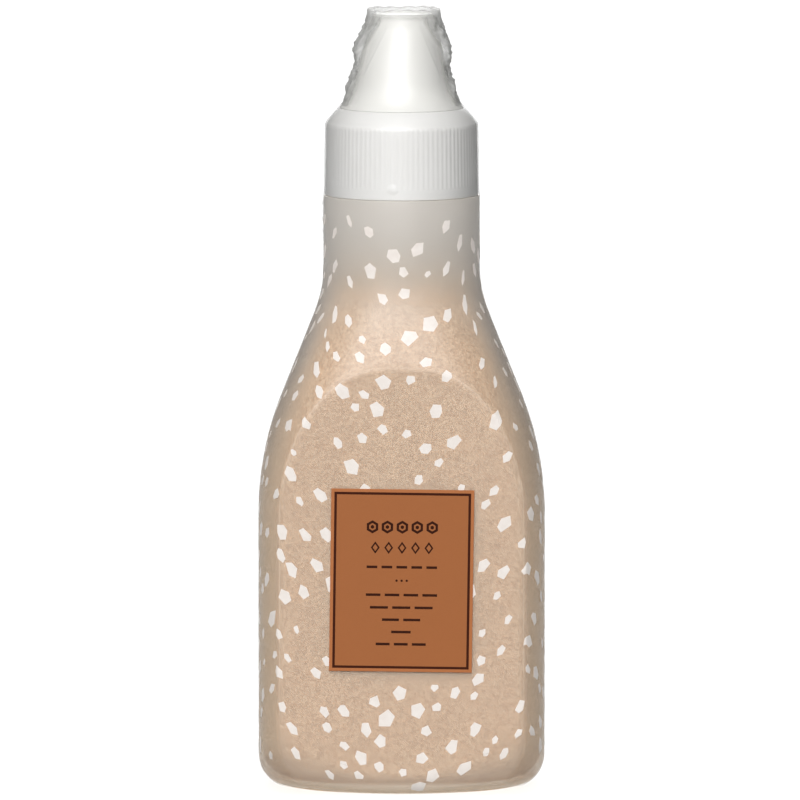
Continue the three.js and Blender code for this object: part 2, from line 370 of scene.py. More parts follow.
@dataclass(frozen=True)
class BlowMouldedPolyethylene(Finish):
    """Frosted low-density polyethylene, blown in a mould.

    It lets the eye through to what touches it from inside, under a thin milky veil. The veil thickens
    where the wall is seen at a slant, so the bottle's sides look smoother and greyer than its panels. It
    takes a warm tone and a faint speckle from the sugar behind it, and is neutral over the empty neck.
    A fine pale line round the arch, along the edge of each panel, is a painted highlight where the crease
    catches the light.
    """

    milk_in_body: str = "#ebd9c0"
    milk_at_edge: str = "#e8caa2"
    milk_at_high_edge: str = "#d4cabf"
    milk_in_neck: str = "#e6e0d8"
    full_below: float = 103.0
    empty_above: float = 138.0
    edge_warm_below: float = 62.0
    edge_grey_above: float = 106.0
    foot_from: float = 5.2
    foot_to: float = 13.0
    solid_below: float = 1.7
    solid_milk: float = 0.5
    # a painted highlight: a pale line where the panel's plane meets the shoulder, with its reach, span, extra
    # milk and colour
    panel_plane: float = 22.92
    painted_highlight_reach: float = 0.2
    painted_highlight_from: float = 15.0
    painted_highlight_whole: float = 30.0
    painted_highlight_milk: float = 0.1
    painted_highlight_colour: str = "#f8e6cf"
    tint: str = "#fbf7f0"
    veil_facing: float = 0.4
    veil_in_neck: float = 0.82
    veil_slanted: float = 0.9
    veil_at_foot: float = 0.45
    slant_from: float = 0.12
    slant_to: float = 0.8
    lit_from_behind: float = 0.14
    roughness: float = 0.5
    refraction: float = 1.51
    cloud_size: float = 6.0
    cloudiness: float = 0.015
    speckle: float = 0.28
    frost_size: float = 0.45  # real frosting is finer than 0.1 mm; drawn coarser, so that it shows
    frost_depth: float = 0.05

    def ridge(self, tree: Tree, apart: Node) -> Node:
        """Adds the nodes for the pale line along the edge of each panel, a painted highlight.

        Args:
            tree: The material's nodes.
            apart: The node that gives the place on the piece as X, Y and Z.

        Returns:
            The node of the painted highlight's share, from 0 to 1.
        """
        plane = self.panel_plane * MM
        start = plane - self.painted_highlight_reach * MM
        from_middle = add_node(tree, "Math", {"operation": "ABSOLUTE", 0: apart.outputs["Y"]})
        near_plane = add_node(
            tree, "MapRange", {"From Min": start, "From Max": plane, "To Max": 2.0, "Value": from_middle}
        )
        across_edge = add_node(tree, "Math", {"operation": "PINGPONG", 0: near_plane, 1: 1.0})
        span = {"From Min": self.painted_highlight_from * MM, "From Max": self.painted_highlight_whole * MM}
        above_foot = add_node(tree, "MapRange", {**span, "Value": apart.outputs["Z"]})
        return add_node(tree, "Math", {**PRODUCT, 0: across_edge, 1: above_foot})

    def surface(self, tree: Tree, spot: Socket) -> Node:
        """Adds the nodes of the veiled wall.

        Args:
            tree: The material's nodes.
            spot: The place on the piece, in metres.

        Returns:
            The last shader node.
        """
        apart = add_node(tree, "SeparateXYZ", {"Vector": spot})
        height = {"Value": apart.outputs["Z"]}
        neck = {"From Min": self.full_below * MM, "From Max": self.empty_above * MM}
        emptying = add_node(tree, "MapRange", {**EASED, **neck, **height})
        facing = add_node(tree, "LayerWeight", {"Blend": 0.5}).outputs["Facing"]
        turning = {"From Min": self.slant_from, "From Max": self.slant_to}
        slant = add_node(tree, "MapRange", {**EASED, **turning, "Value": facing})
        # painted highlight: a pale line along the arch's crease
        ridge = self.ridge(tree, apart)

        # how thick the milk is
        veils = {"To Min": self.veil_facing, "To Max": self.veil_in_neck}
        thin = add_node(tree, "MapRange", {**veils, "Value": emptying})
        foot = {"From Min": self.foot_from * MM, "From Max": self.foot_to * MM}
        veils = {"To Min": self.veil_at_foot, "To Max": self.veil_slanted}
        above_edge = add_node(tree, "MapRange", {**foot, **veils, **height})
        veil = add_node(tree, "MapRange", {"Value": slant, "To Min": thin, "To Max": above_edge})
        clouds = add_node(tree, "TexNoise", pattern(spot, self.cloud_size))
        mild = {"To Min": -self.cloudiness, "To Max": self.cloudiness}
        cloudy = add_node(tree, "MapRange", {**NOISE_SPAN, **mild, "Value": clouds})
        # the painted highlight thickens the milk along the arch
        uneven = add_node(tree, "Math", {**MULTIPLY_ADD, 0: ridge, 1: self.painted_highlight_milk, 2: cloudy})
        solid = {"From Min": self.solid_below * MM, "From Max": self.solid_below * 2 * MM}
        base_milk = add_node(tree, "MapRange", {**solid, "To Min": self.solid_milk, "To Max": 0.0, **height})
        thick = add_node(tree, "Math", {"operation": "ADD", 0: uneven, 1: base_milk})
        share = add_node(tree, "Math", {"operation": "ADD", "use_clamp": True, 0: veil, 1: thick})

        # the milk's colour
        edge = {"From Min": self.edge_warm_below * MM, "From Max": self.edge_grey_above * MM}
        rising = add_node(tree, "MapRange", {**edge, **height})
        edges = {FROM: linear(self.milk_at_edge), TO: linear(self.milk_at_high_edge)}
        at_edge = add_node(tree, "Mix", {**COLOURS, 0: rising, **edges})
        warm = add_node(tree, "Mix", {**COLOURS, 0: slant, FROM: linear(self.milk_in_body), TO: at_edge})
        # the painted highlight's pale colour along the arch
        highlighted = add_node(tree, "Mix", {**COLOURS, 0: ridge, FROM: warm, TO: linear(self.painted_highlight_colour)})
        milk = add_node(tree, "Mix", {**COLOURS, 0: emptying, FROM: highlighted, TO: linear(self.milk_in_neck)})
        over_sugar = add_node(tree, "MapRange", {**neck, "To Min": slant, "To Max": 0.0, **height})
        frost = add_node(tree, "TexNoise", pattern(spot, self.frost_size, 3.0))
        grains = {"To Min": 1 - self.speckle, "To Max": 1 + self.speckle}
        grainy = add_node(tree, "MapRange", {**NOISE_SPAN, **grains, "Value": frost})
        speckled = add_node(tree, "Mix", {0: over_sugar, 2: 1.0, 3: grainy})
        shown = add_node(tree, "HueSaturation", {"Value": speckled, "Color": milk})

        bump = add_node(tree, "Bump", {"Strength": 0.12, "Distance": self.frost_depth * MM, "Height": frost})
        plastic = {"Roughness": self.roughness, "IOR": self.refraction}
        milky = add_node(tree, "BsdfPrincipled", {**plastic, "Base Color": shown, "Normal": bump})
        through = add_node(tree, "BsdfTranslucent", {"Color": shown})
        body = add_node(tree, "MixShader", {"Fac": self.lit_from_behind, 1: milky, 2: through})
        clear = add_node(tree, "BsdfTransparent", {"Color": linear(self.tint)})
        return add_node(tree, "MixShader", {"Fac": share, 1: clear, 2: body})


@dataclass(frozen=True)
class DustedPolyethylene(Finish):
    """The inside of the neck, dusted with sugar by shaking.

    Fine sugar clings to the wall just above the filling and thins out upwards, so the beige fades into
    the grey of the empty neck with no edge.
    """

    dust: str = "#e2bd98"
    milk: str = "#d9d5cd"
    covered_below: float = 114.0
    bare_above: float = 133.0
    cover_low: float = 0.95
    patch_least: float = 0.75
    patch_most: float = 1.15
    speckle_least: float = 0.92
    speckle_most: float = 1.08
    wall_share: float = 0.75
    roughness: float = 0.75
    patch_size: float = 5.0
    grain_size: float = 0.5  # the dust is finer than this, and wouldn't show

    def surface(self, tree: Tree, spot: Socket) -> Node:
        """Adds the nodes of the dusted wall.

        Args:
            tree: The material's nodes.
            spot: The place on the piece, in metres.

        Returns:
            The last shader node.
        """
        height = add_node(tree, "SeparateXYZ", {"Vector": spot}).outputs["Z"]
        patches = add_node(tree, "TexNoise", pattern(spot, self.patch_size, 4.0))
        grains = add_node(tree, "TexNoise", pattern(spot, self.grain_size, 1.0))
        rise = {"From Min": self.covered_below * MM, "From Max": self.bare_above * MM}
        cover = {"To Min": self.cover_low, "To Max": 0.0}
        thinning = add_node(tree, "MapRange", {**EASED, **rise, **cover, "Value": height})
        cover = {"To Min": self.patch_least, "To Max": self.patch_most}
        uneven = add_node(tree, "MapRange", {**NOISE_SPAN, **cover, "Value": patches})
        patchy = add_node(tree, "Math", {**PRODUCT, 0: thinning, 1: uneven})
        middling = {"From Min": 0.35, "From Max": 0.65}
        cover = {"To Min": self.speckle_least, "To Max": self.speckle_most}
        speckle = add_node(tree, "MapRange", {**middling, **cover, "Value": grains})
        share = add_node(tree, "Math", {**PRODUCT, 0: patchy, 1: speckle})
        grain = {"Base Color": linear(self.dust), "Roughness": self.roughness, "IOR": 1.5}
        powder = add_node(tree, "BsdfPrincipled", grain)
        wall = add_node(tree, "BsdfTranslucent", {"Color": linear(self.milk)})
        clear = add_node(tree, "BsdfTransparent", {"Color": linear(self.milk)})
        bare = add_node(tree, "MixShader", {"Fac": self.wall_share, 1: clear, 2: wall})
        return add_node(tree, "MixShader", {"Fac": share, 1: bare, 2: powder})


@dataclass(frozen=True)
class PackedSugar(Finish):
    """Fine brown sugar, poured and settled against the wall.

    Each grain has a shade of its own, which gives a fine mottle, with here and there a darker grain.
    """

    pale: str = "#f3dcc6"
    warm: str = "#b68c69"
    dark: str = "#986e4f"
    grain_size: float = 0.62
    clump_size: float = 9.0
    damp_share: float = 0.08
    dark_from: float = 0.9
    dark_share: float = 0.5
    relief: float = 0.12
    roughness: float = 0.72

    def surface(self, tree: Tree, spot: Socket) -> Node:
        """Adds the nodes of the grains.

        Args:
            tree: The material's nodes.
            spot: The place on the piece, in metres.

        Returns:
            The last shader node.
        """
        fine = pattern(spot, self.grain_size * 0.8)
        grains = add_node(tree, "TexNoise", {**fine, "Roughness": 0.6})
        clumps = add_node(tree, "TexNoise", pattern(spot, self.clump_size, 3.0))
        crystals = add_node(tree, "TexVoronoi", pattern(spot, self.grain_size, 0.0))
        tell = add_node(tree, "SeparateColor", {"Color": crystals.outputs["Color"]})
        mottle = add_node(tree, "Math", {**MULTIPLY_ADD, 0: tell.outputs["Green"], 1: 0.32, 2: grains})
        shade = add_node(tree, "MapRange", {"From Min": 0.46, "From Max": 0.86, "Value": mottle})
        tones = {FROM: linear(self.warm), TO: linear(self.pale)}
        ground = add_node(tree, "Mix", {**COLOURS, 0: shade, **tones})
        wide = {"From Min": 0.35, "From Max": 0.75, "To Min": 0.0, "To Max": self.damp_share}
        damp = add_node(tree, "MapRange", {**wide, "Value": clumps})
        patchy = add_node(tree, "Mix", {**COLOURS, 0: damp, FROM: ground, TO: linear(self.warm)})
        few = {"From Min": self.dark_from, "From Max": 1.0, "To Min": 0.0, "To Max": self.dark_share}
        darker = add_node(tree, "MapRange", {**few, "Value": tell.outputs["Red"]})
        speckled = add_node(tree, "Mix", {**COLOURS, 0: darker, FROM: patchy, TO: linear(self.dark)})
        bump = add_node(tree, "Bump", {"Strength": 0.35, "Distance": self.relief * MM, "Height": grains})
        crystal = {"Roughness": self.roughness, "IOR": 1.54}
        return add_node(tree, "BsdfPrincipled", {**crystal, "Base Color": speckled, "Normal": bump})


@dataclass(frozen=True)
class MouldedPolypropylene(Finish):
    """White polypropylene, injection-moulded with a satin surface.

    It looks clean and slightly cool, with a soft sheen and barely visible flow marks.
    """

    white: str = "#f3f2f0"
    shade: str = "#efeeeb"
    roughness: float = 0.5
    uneven: float = 0.05
    refraction: float = 1.49
    flow_size: float = 7.0
    grain_size: float = 0.4
    relief: float = 0.03

    def surface(self, tree: Tree, spot: Socket) -> Node:
        """Adds the nodes of the satin plastic.

        Args:
            tree: The material's nodes.
            spot: The place on the piece, in metres.

        Returns:
            The last shader node.
        """
        flow = add_node(tree, "TexNoise", pattern(spot, self.flow_size))
        grain = add_node(tree, "TexNoise", pattern(spot, self.grain_size))
        tones = {FROM: linear(self.white), TO: linear(self.shade)}
        colour = add_node(tree, "Mix", {**COLOURS, 0: flow, **tones})
        satin = {"To Min": self.roughness - self.uneven, "To Max": self.roughness + self.uneven}
        sheen = add_node(tree, "MapRange", {**satin, "Value": flow})
        bump = add_node(tree, "Bump", {"Strength": 0.05, "Distance": self.relief * MM, "Height": grain})
        sources = {"Base Color": colour, "Roughness": sheen, "Normal": bump}
        return add_node(tree, "BsdfPrincipled", {"IOR": self.refraction, **sources})


@dataclass(frozen=True)
class ShrinkFilm(Finish):
    """Clear polyester film, shrunk on with hot air.

    It is nearly unseen where it lies flat, and mirrors the lights softly. Where it gathers in small
    crinkles it is grey and hazy, because each crinkle sends the light another way.
    """

    clear: str = "#fcfcfc"
    haze: str = "#cfcfcd"
    haze_facing: float = 0.015
    haze_slanted: float = 0.09
    lit_from_behind: float = 0.4
    roughness: float = 0.46
    mirror_facing: float = 0.025
    mirror_slanted: float = 0.17
    ripple_size: float = 3.5
    ripple_depth: float = 0.12

    def haze_share(self, tree: Tree, spot: Socket) -> Node:
        """Adds the nodes for how hazy the film is: more where it is seen at a slant.

        Args:
            tree: The material's nodes.
            spot: The place on the film, in metres; not used here.

        Returns:
            The node of the share of haze.
        """
        facing = add_node(tree, "LayerWeight", {"Blend": 0.5}).outputs["Facing"]
        turning = {"From Min": 0.1, "From Max": 0.9}
        shares = {"To Min": self.haze_facing, "To Max": self.haze_slanted}
        return add_node(tree, "MapRange", {**EASED, **turning, **shares, "Value": facing})

    def surface(self, tree: Tree, spot: Socket) -> Node:
        """Adds the nodes of the film.

        Args:
            tree: The material's nodes.
            spot: The place on the film, in metres.

        Returns:
            The last shader node.
        """
        ripples = add_node(tree, "TexNoise", pattern(spot, self.ripple_size, 3.0))
        relief = {"Strength": 0.25, "Distance": self.ripple_depth * MM}
        bump = add_node(tree, "Bump", {**relief, "Height": ripples})
        slanted = add_node(tree, "LayerWeight", {"Blend": 0.5, "Normal": bump}).outputs["Facing"]
        steep = add_node(tree, "Math", {"operation": "POWER", 0: slanted, 1: 5.0})
        shares = {"To Min": self.mirror_facing, "To Max": self.mirror_slanted}
        mirror = add_node(tree, "MapRange", {**shares, "Value": steep})
        clear = add_node(tree, "BsdfTransparent", {"Color": linear(self.clear)})
        front = add_node(tree, "BsdfDiffuse", {"Color": linear(self.haze)})
        rear = add_node(tree, "BsdfTranslucent", {"Color": linear(self.haze)})
        cloud = add_node(tree, "MixShader", {"Fac": self.lit_from_behind, 1: front, 2: rear})
        sheet = add_node(tree, "MixShader", {"Fac": self.haze_share(tree, spot), 1: clear, 2: cloud})
        shine = {"Color": (1, 1, 1, 1), "Roughness": self.roughness}
        gloss = add_node(tree, "BsdfGlossy", {**shine, "Normal": bump})
        return add_node(tree, "MixShader", {"Fac": mirror, 1: sheet, 2: gloss})


@dataclass(frozen=True)
class GatheredFilm(ShrinkFilm):
    """The same film where it shrank over the cone and stands off its sides.

    It is clear on the cone's front and back, and turns grey and streaky beyond the fold on each side,
    because the streaks of small pleats run down and outwards from the rim.
    """

    haze_facing: float = 0.4
    haze_slanted: float = 0.52
    haze_least: float = 0.02
    mirror_slanted: float = 0.12
    fold: FilmFold = FilmFold()
    soft_degrees: float = 9.0
    streak_degrees: float = 5.0
    streak_lean: float = 3.0
    streak_length: float = 7.0

    def haze_share(self, tree: Tree, spot: Socket) -> Node:
        """Adds the nodes for how hazy the film is: clear up to the fold, and streaky beyond it.

        Args:
            tree: The material's nodes.
            spot: The place on the film, in metres.

        Returns:
            The node of the share of haze.
        """
        fold = self.fold
        x, y, z = add_node(tree, "SeparateXYZ", {"Vector": spot}).outputs
        aside = add_node(tree, "Math", {"operation": "ABSOLUTE", 0: x})
        along = add_node(tree, "Math", {"operation": "ABSOLUTE", 0: y})
        turn = add_node(tree, "Math", {"operation": "ARCTAN2", 0: aside, 1: along})
        degrees = add_node(tree, "Math", {"operation": "DEGREES", 0: turn})
        below = add_node(tree, "Math", {**MULTIPLY_ADD, 0: z, 1: -1 / MM, 2: fold.height})
        leaning = add_node(tree, "Math", {**MULTIPLY_ADD, 0: below, 1: fold.lean, 2: fold.degrees})
        start = add_node(tree, "Math", {"operation": "MINIMUM", 0: leaning, 1: fold.most})
        beyond = add_node(tree, "Math", {"operation": "SUBTRACT", 0: degrees, 1: start})
        soft = {"From Min": -0.4 * self.soft_degrees, "From Max": self.soft_degrees}
        gathered = add_node(tree, "MapRange", {**EASED, **soft, "Value": beyond})
        across = add_node(tree, "Math", {**MULTIPLY_ADD, 0: below, 1: -self.streak_lean, 2: degrees})
        scaled = add_node(tree, "Math", {"operation": "MULTIPLY", 0: across, 1: 1 / self.streak_degrees})
        down = add_node(tree, "Math", {"operation": "MULTIPLY", 0: below, 1: 1 / self.streak_length})
        side = add_node(tree, "Math", {"operation": "SIGN", 0: x})
        place_of = add_node(tree, "CombineXYZ", {"X": scaled, "Y": down, "Z": side})
        streaks = add_node(tree, "TexNoise", {"Scale": 1.0, "Detail": 3.0, "Vector": place_of})
        streaky = add_node(tree, "MapRange", {**NOISE_SPAN, "To Min": 0.6, "To Max": 1.3, "Value": streaks})
        whole = super().haze_share(tree, spot)
        streaked = add_node(tree, "Math", {"operation": "MULTIPLY", 0: whole, 1: streaky})
        share = add_node(tree, "Math", {**PRODUCT, 0: streaked, 1: gathered})
        return add_node(tree, "Math", {"operation": "ADD", "use_clamp": True, 0: share, 1: self.haze_least})


@dataclass(frozen=True)
class PrintedInk(Finish):
    """Opaque ink, printed in one thin coat.

    It looks flat and even, with a faint unevenness of the coat.
    """

    colour: str
    shade: str
    roughness: float = 0.45
    uneven: float = 0.06
    gloss: float = 0.5
    coat_size: float = 1.6

    def surface(self, tree: Tree, spot: Socket) -> Node:
        """Adds the nodes of the ink.

        Args:
            tree: The material's nodes.
            spot: The place on the print, in metres.

        Returns:
            The last shader node.
        """
        coat = add_node(tree, "TexNoise", pattern(spot, self.coat_size, 3.0))
        thinner = add_node(tree, "MapRange", {**NOISE_SPAN, "Value": coat})
        tones = {FROM: linear(self.colour), TO: linear(self.shade)}
        colour = add_node(tree, "Mix", {**COLOURS, 0: thinner, **tones})
        satin = {"To Min": self.roughness - self.uneven, "To Max": self.roughness + self.uneven}
        sheen = add_node(tree, "MapRange", {**satin, "Value": coat})
        shine = {"IOR": 1.5, "Specular IOR Level": self.gloss}
        return add_node(tree, "BsdfPrincipled", {**shine, "Base Color": colour, "Roughness": sheen})


@dataclass(frozen=True)
class PrintedPaper(Finish):
    """Coated paper, printed all over in brown.

    It looks matt, with the faint tooth of paper fibres and a slightly uneven print.
    """

    colour: str
    shade: str
    roughness: float = 0.5
    gloss: float = 0.5
    fibre_size: float = 0.5  # paper fibres are finer, and wouldn't show
    fibre_depth: float = 0.03
    cloud_size: float = 8.0

    def surface(self, tree: Tree, spot: Socket) -> Node:
        """Adds the nodes of the paper.

        Args:
            tree: The material's nodes.
            spot: The place on the label, in metres.

        Returns:
            The last shader node.
        """
        fibres = add_node(tree, "TexNoise", pattern(spot, self.fibre_size, 4.0))
        clouds = add_node(tree, "TexNoise", pattern(spot, self.cloud_size))
        half = add_node(tree, "Math", {**PRODUCT, 0: fibres, 1: 0.5})
        both = add_node(tree, "Math", {**MULTIPLY_ADD, "use_clamp": True, 0: clouds, 1: 0.5, 2: half})
        tones = {FROM: linear(self.colour), TO: linear(self.shade)}
        colour = add_node(tree, "Mix", {**COLOURS, 0: both, **tones})
        bump = add_node(tree, "Bump", {"Strength": 0.1, "Distance": self.fibre_depth * MM, "Height": fibres})
        coating = {"Roughness": self.roughness, "IOR": 1.5, "Specular IOR Level": self.gloss}
        return add_node(tree, "BsdfPrincipled", {**coating, "Base Color": colour, "Normal": bump})


@dataclass(frozen=True)
class FloorPaint(Finish):
    """Pale matt paint on the studio's floor, rolled on, which looks even and without gloss."""

    colour: str = "#f2f2f2"
    roughness: float = 0.9
    uneven: float = 0.05
    patch_size: float = 60.0

    def surface(self, tree: Tree, spot: Socket) -> Node:
        """Adds the nodes of the paint.

        Args:
            tree: The material's nodes.
            spot: The place on the floor, in metres.

        Returns:
            The last shader node.
        """
        patches = add_node(tree, "TexNoise", pattern(spot, self.patch_size, 3.0))
        matt = {"To Min": self.roughness - self.uneven, "To Max": self.roughness + self.uneven}
        roughness = add_node(tree, "MapRange", {**matt, "Value": patches})
        paint = {"Base Color": linear(self.colour), "IOR": 1.3}
        return add_node(tree, "BsdfPrincipled", {**paint, "Roughness": roughness})


# ---- The bottle's form, which its pieces share ----


@dataclass(frozen=True)
class BottleForm:
    """A rounded body with flat front and back panels, an arched shoulder and a round neck."""

    body_half_width: float = 33.5
    panel_half_depth: float = 22.5
    round_depth_ratio: float = 0.91
    neck_exponent: float = 2.0
    body_exponent: float = 3.2
    panel_softness: float = 0.4
    foot_half_width: float = 26.0
    foot_half_depth: float = 17.0
    neck_radius: float = 18.05
    shoulder_top: float = 124.0
    shoulder_bottom: float = 65.0
    hollow_arc: float = 30.0
    crown_arc: float = 75.0
    square_below: float = 98.0
    neck_top: float = 140.87

    def slope(self) -> float:
        """Gives the shoulder's lean from upright, in radians.

        Returns:
            The lean that joins the two arcs.
        """
        arcs = self.hollow_arc + self.crown_arc
        spread = self.body_half_width - self.neck_radius
        rise = self.shoulder_top - self.shoulder_bottom
        run = math.sqrt(spread**2 - 2 * arcs * spread + rise**2)
        return math.atan2(spread - arcs, rise) + math.atan2(arcs, run)

    def half_width(self, height: Array) -> Array:
        """Gives half the bottle's width at each height: body, crown arc, flank, hollow arc and neck.

        Args:
            height: Heights above the base.

        Returns:
            Half the width at each.
        """
        slope = self.slope()
        hollow_end = self.shoulder_top - self.hollow_arc * math.sin(slope)
        crown_start = self.shoulder_bottom + self.crown_arc * math.sin(slope)
        up = np.clip(height - self.shoulder_bottom, 0, self.crown_arc)
        down = np.clip(self.shoulder_top - height, 0, self.hollow_arc)
        crown = self.body_half_width - self.crown_arc + np.sqrt(self.crown_arc**2 - up**2)
        hollow = self.neck_radius + self.hollow_arc - np.sqrt(self.hollow_arc**2 - down**2)
        flank = self.neck_radius + self.hollow_arc * (1 - math.cos(slope))
        flank = flank + (hollow_end - height) * math.tan(slope)
        return np.where(height >= hollow_end, hollow, np.where(height <= crown_start, crown, flank))

    def radius(self, angle: Array, height: Array, offset: float) -> Array:
        """Gives the radius of the section at a height.

        Args:
            angle: Angles from the front, in radians.
            height: Heights, from the base's rounded edge to the neck.
            offset: How far outside the CAD bottle's surface it is.

        Returns:
            The radius at each angle and height.
        """
        squareness = 1 - ease(height, self.square_below, self.shoulder_top)
        exponent = blend(self.neck_exponent, self.body_exponent, squareness)
        ratio = blend(1.0, self.round_depth_ratio, squareness)
        half = self.half_width(height)
        rounded = superellipse(angle, half + offset, half * ratio + offset, exponent)
        flat = (self.panel_half_depth + offset) / np.maximum(np.abs(np.cos(angle)), 1e-3)
        return soft_min(rounded, flat, self.panel_softness)

    def foot_radius(self, angle: Array) -> Array:
        """Gives the radius of the flat ellipse that the bottle stands on."""
        return superellipse(angle, self.foot_half_width, self.foot_half_depth, 2.0)

    def edge_radius(self, angle: Array) -> Array:
        """Gives the radius of the rounding between the base and the sides."""
        bottom = np.full_like(angle, self.shoulder_bottom)
        return self.radius(angle, bottom, 0.0) - self.foot_radius(angle)

    def on_edge(self, angle: Array, turn: Any, offset: float) -> Place:
        """Gives a place on the base's rounded edge.

        Args:
            angle: Angles from the front, in radians.
            turn: How far up the rounding it is, from 0 at the bottom to a quarter turn.
            offset: How far outside the CAD bottle's surface it is.

        Returns:
            The radius and height at each angle.
        """
        edge = self.edge_radius(angle)
        reach = edge + offset
        return self.foot_radius(angle) + reach * np.sin(turn), edge - reach * np.cos(turn)

    def on_upright(self, angle: Array, share: float, offset: float) -> Place:
        """Gives a place on the upright side, by its share of the way up to the shoulder."""
        height = blend(self.edge_radius(angle), self.shoulder_bottom, share)
        return self.radius(angle, height, offset), height

    def on_side(self, angle: Array, climb: Array, offset: float) -> Place:
        """Gives a place on the side by how far it is above the base's rounded edge.

        Args:
            angle: Angles from the front, in radians.
            climb: Millimetres above the top of the rounding, or below it where negative.
            offset: How far outside the CAD bottle's surface it is.

        Returns:
            The radius and height at each angle.
        """
        edge = self.edge_radius(angle)
        turn = math.pi / 2 + np.minimum(climb, 0) / np.maximum(edge, 1e-3)
        low_radius, low_height = self.on_edge(angle, turn, offset)
        height = edge + np.maximum(climb, 0)
        high_radius = self.radius(angle, height, offset)
        return np.where(climb < 0, low_radius, high_radius), np.where(climb < 0, low_height, height)

    def wall_stations(
        self, edge_offset: Callable[[float], float], offset: float, heights: Sequence[float]
    ) -> list[Station]:
        """Gives the stations of a wall, from the base's rounded edge up.

        Args:
            edge_offset: Gives how far it is from the CAD surface at an angle up the base's edge.
            offset: How far it is from the CAD surface above the edge.
            heights: Its stations' heights on the shoulder.

        Returns:
            The stations, from the bottom up.
        """
        turns = np.linspace(0, 90, 16)
        rows = [partial(self.on_edge, turn=math.radians(t), offset=edge_offset(t)) for t in turns]
        rows += [partial(self.on_upright, share=s, offset=offset) for s in np.linspace(0, 1, 10)[1:]]
        return rows + [level(partial(self.radius, offset=offset), height) for height in heights]


class SubAssembly(ABC):
    """A part of the bottle that builds and dresses its own pieces."""

    @abstractmethod
    def build(self) -> list[Piece]:
        """Builds and dresses the pieces, and returns them."""


# ---- Bottle, sugar, closure and cover ----


@dataclass
class FrostedBottle(SubAssembly):
    """The hollow bottle, with its hidden mouth under the closure."""

    form: BottleForm
    proud: float = 0.42  # the film lies on the wall, so the wall fills most of the gap under it
    wall: float = 0.8
    base_wall: float = 2.1
    mouth_radius: float = 15.4
    mouth_wall: float = 1.4
    mouth_top: float = 156.6
    neck_edge: float = 0.16
    mid_neck: float = 132.0
    dusted_from: float = 112.0
    proud_turn: tuple[float, float] = (8.0, 42.0)
    thinning_turn: tuple[float, float] = (25.0, 90.0)
    shoulder_rows: int = 74
    sides: int = 288

    def outer_offset(self, degrees: float) -> float:
        """Gives how far the outside is from the CAD surface, at an angle up the base's edge."""
        return self.proud * float(ease(np.array(degrees), *self.proud_turn))

    def inner_offset(self, degrees: float) -> float:
        """Gives how far the inside is from the CAD surface: the base is thicker than the sides."""
        thinned = float(ease(np.array(degrees), *self.thinning_turn))
        return -blend(self.base_wall, self.wall, thinned)

    def build(self) -> list[Piece]:
        """Builds the bottle's wall.

        Returns:
            The wall.
        """
        form = self.form
        heights = list(np.linspace(form.shoulder_bottom, form.shoulder_top, self.shoulder_rows))[1:]
        outside = form.wall_stations(self.outer_offset, self.proud, heights)
        inside = form.wall_stations(self.inner_offset, -self.wall, heights)
        neck = form.neck_radius + self.proud
        inner_mouth = self.mouth_radius - self.mouth_wall
        inner_neck = form.neck_radius - self.wall
        rim = [
            ring(neck, self.mid_neck),
            ring(neck, form.neck_top - self.neck_edge),
            ring(neck - self.neck_edge * 0.3, form.neck_top - self.neck_edge * 0.3),
            ring(neck - self.neck_edge, form.neck_top),
            ring(self.mouth_radius, form.neck_top),
            ring(self.mouth_radius, self.mouth_top),
            ring(inner_mouth, self.mouth_top),
            ring(inner_mouth, form.neck_top - self.wall),
            ring(inner_neck, form.neck_top - self.mouth_wall - self.wall),
            ring(inner_neck, self.mid_neck),
        ]
        shape = spin([ring(0, 0), *outside, *rim, *reversed(inside), ring(0, self.base_wall)], self.sides)
        # dust lies on the inside of the neck: the rim's last two stations and the first of the inside
        first_inside = 1 + len(outside) + len(rim) - 3
        dusted = [height for height in heights if height > self.dusted_from]
        last_dusted = 1 + len(outside) + len(rim) + len(dusted)
        shape.bands = [int(first_inside <= band < last_dusted) for band in shape.bands]
        finishes = [
            BlowMouldedPolyethylene().build("frosted_polyethylene_blow_moulded"),
            DustedPolyethylene().build("polyethylene_dusted_with_sugar"),
        ]
        return [place("bottle_wall", shape, finishes, ["bottle"])]


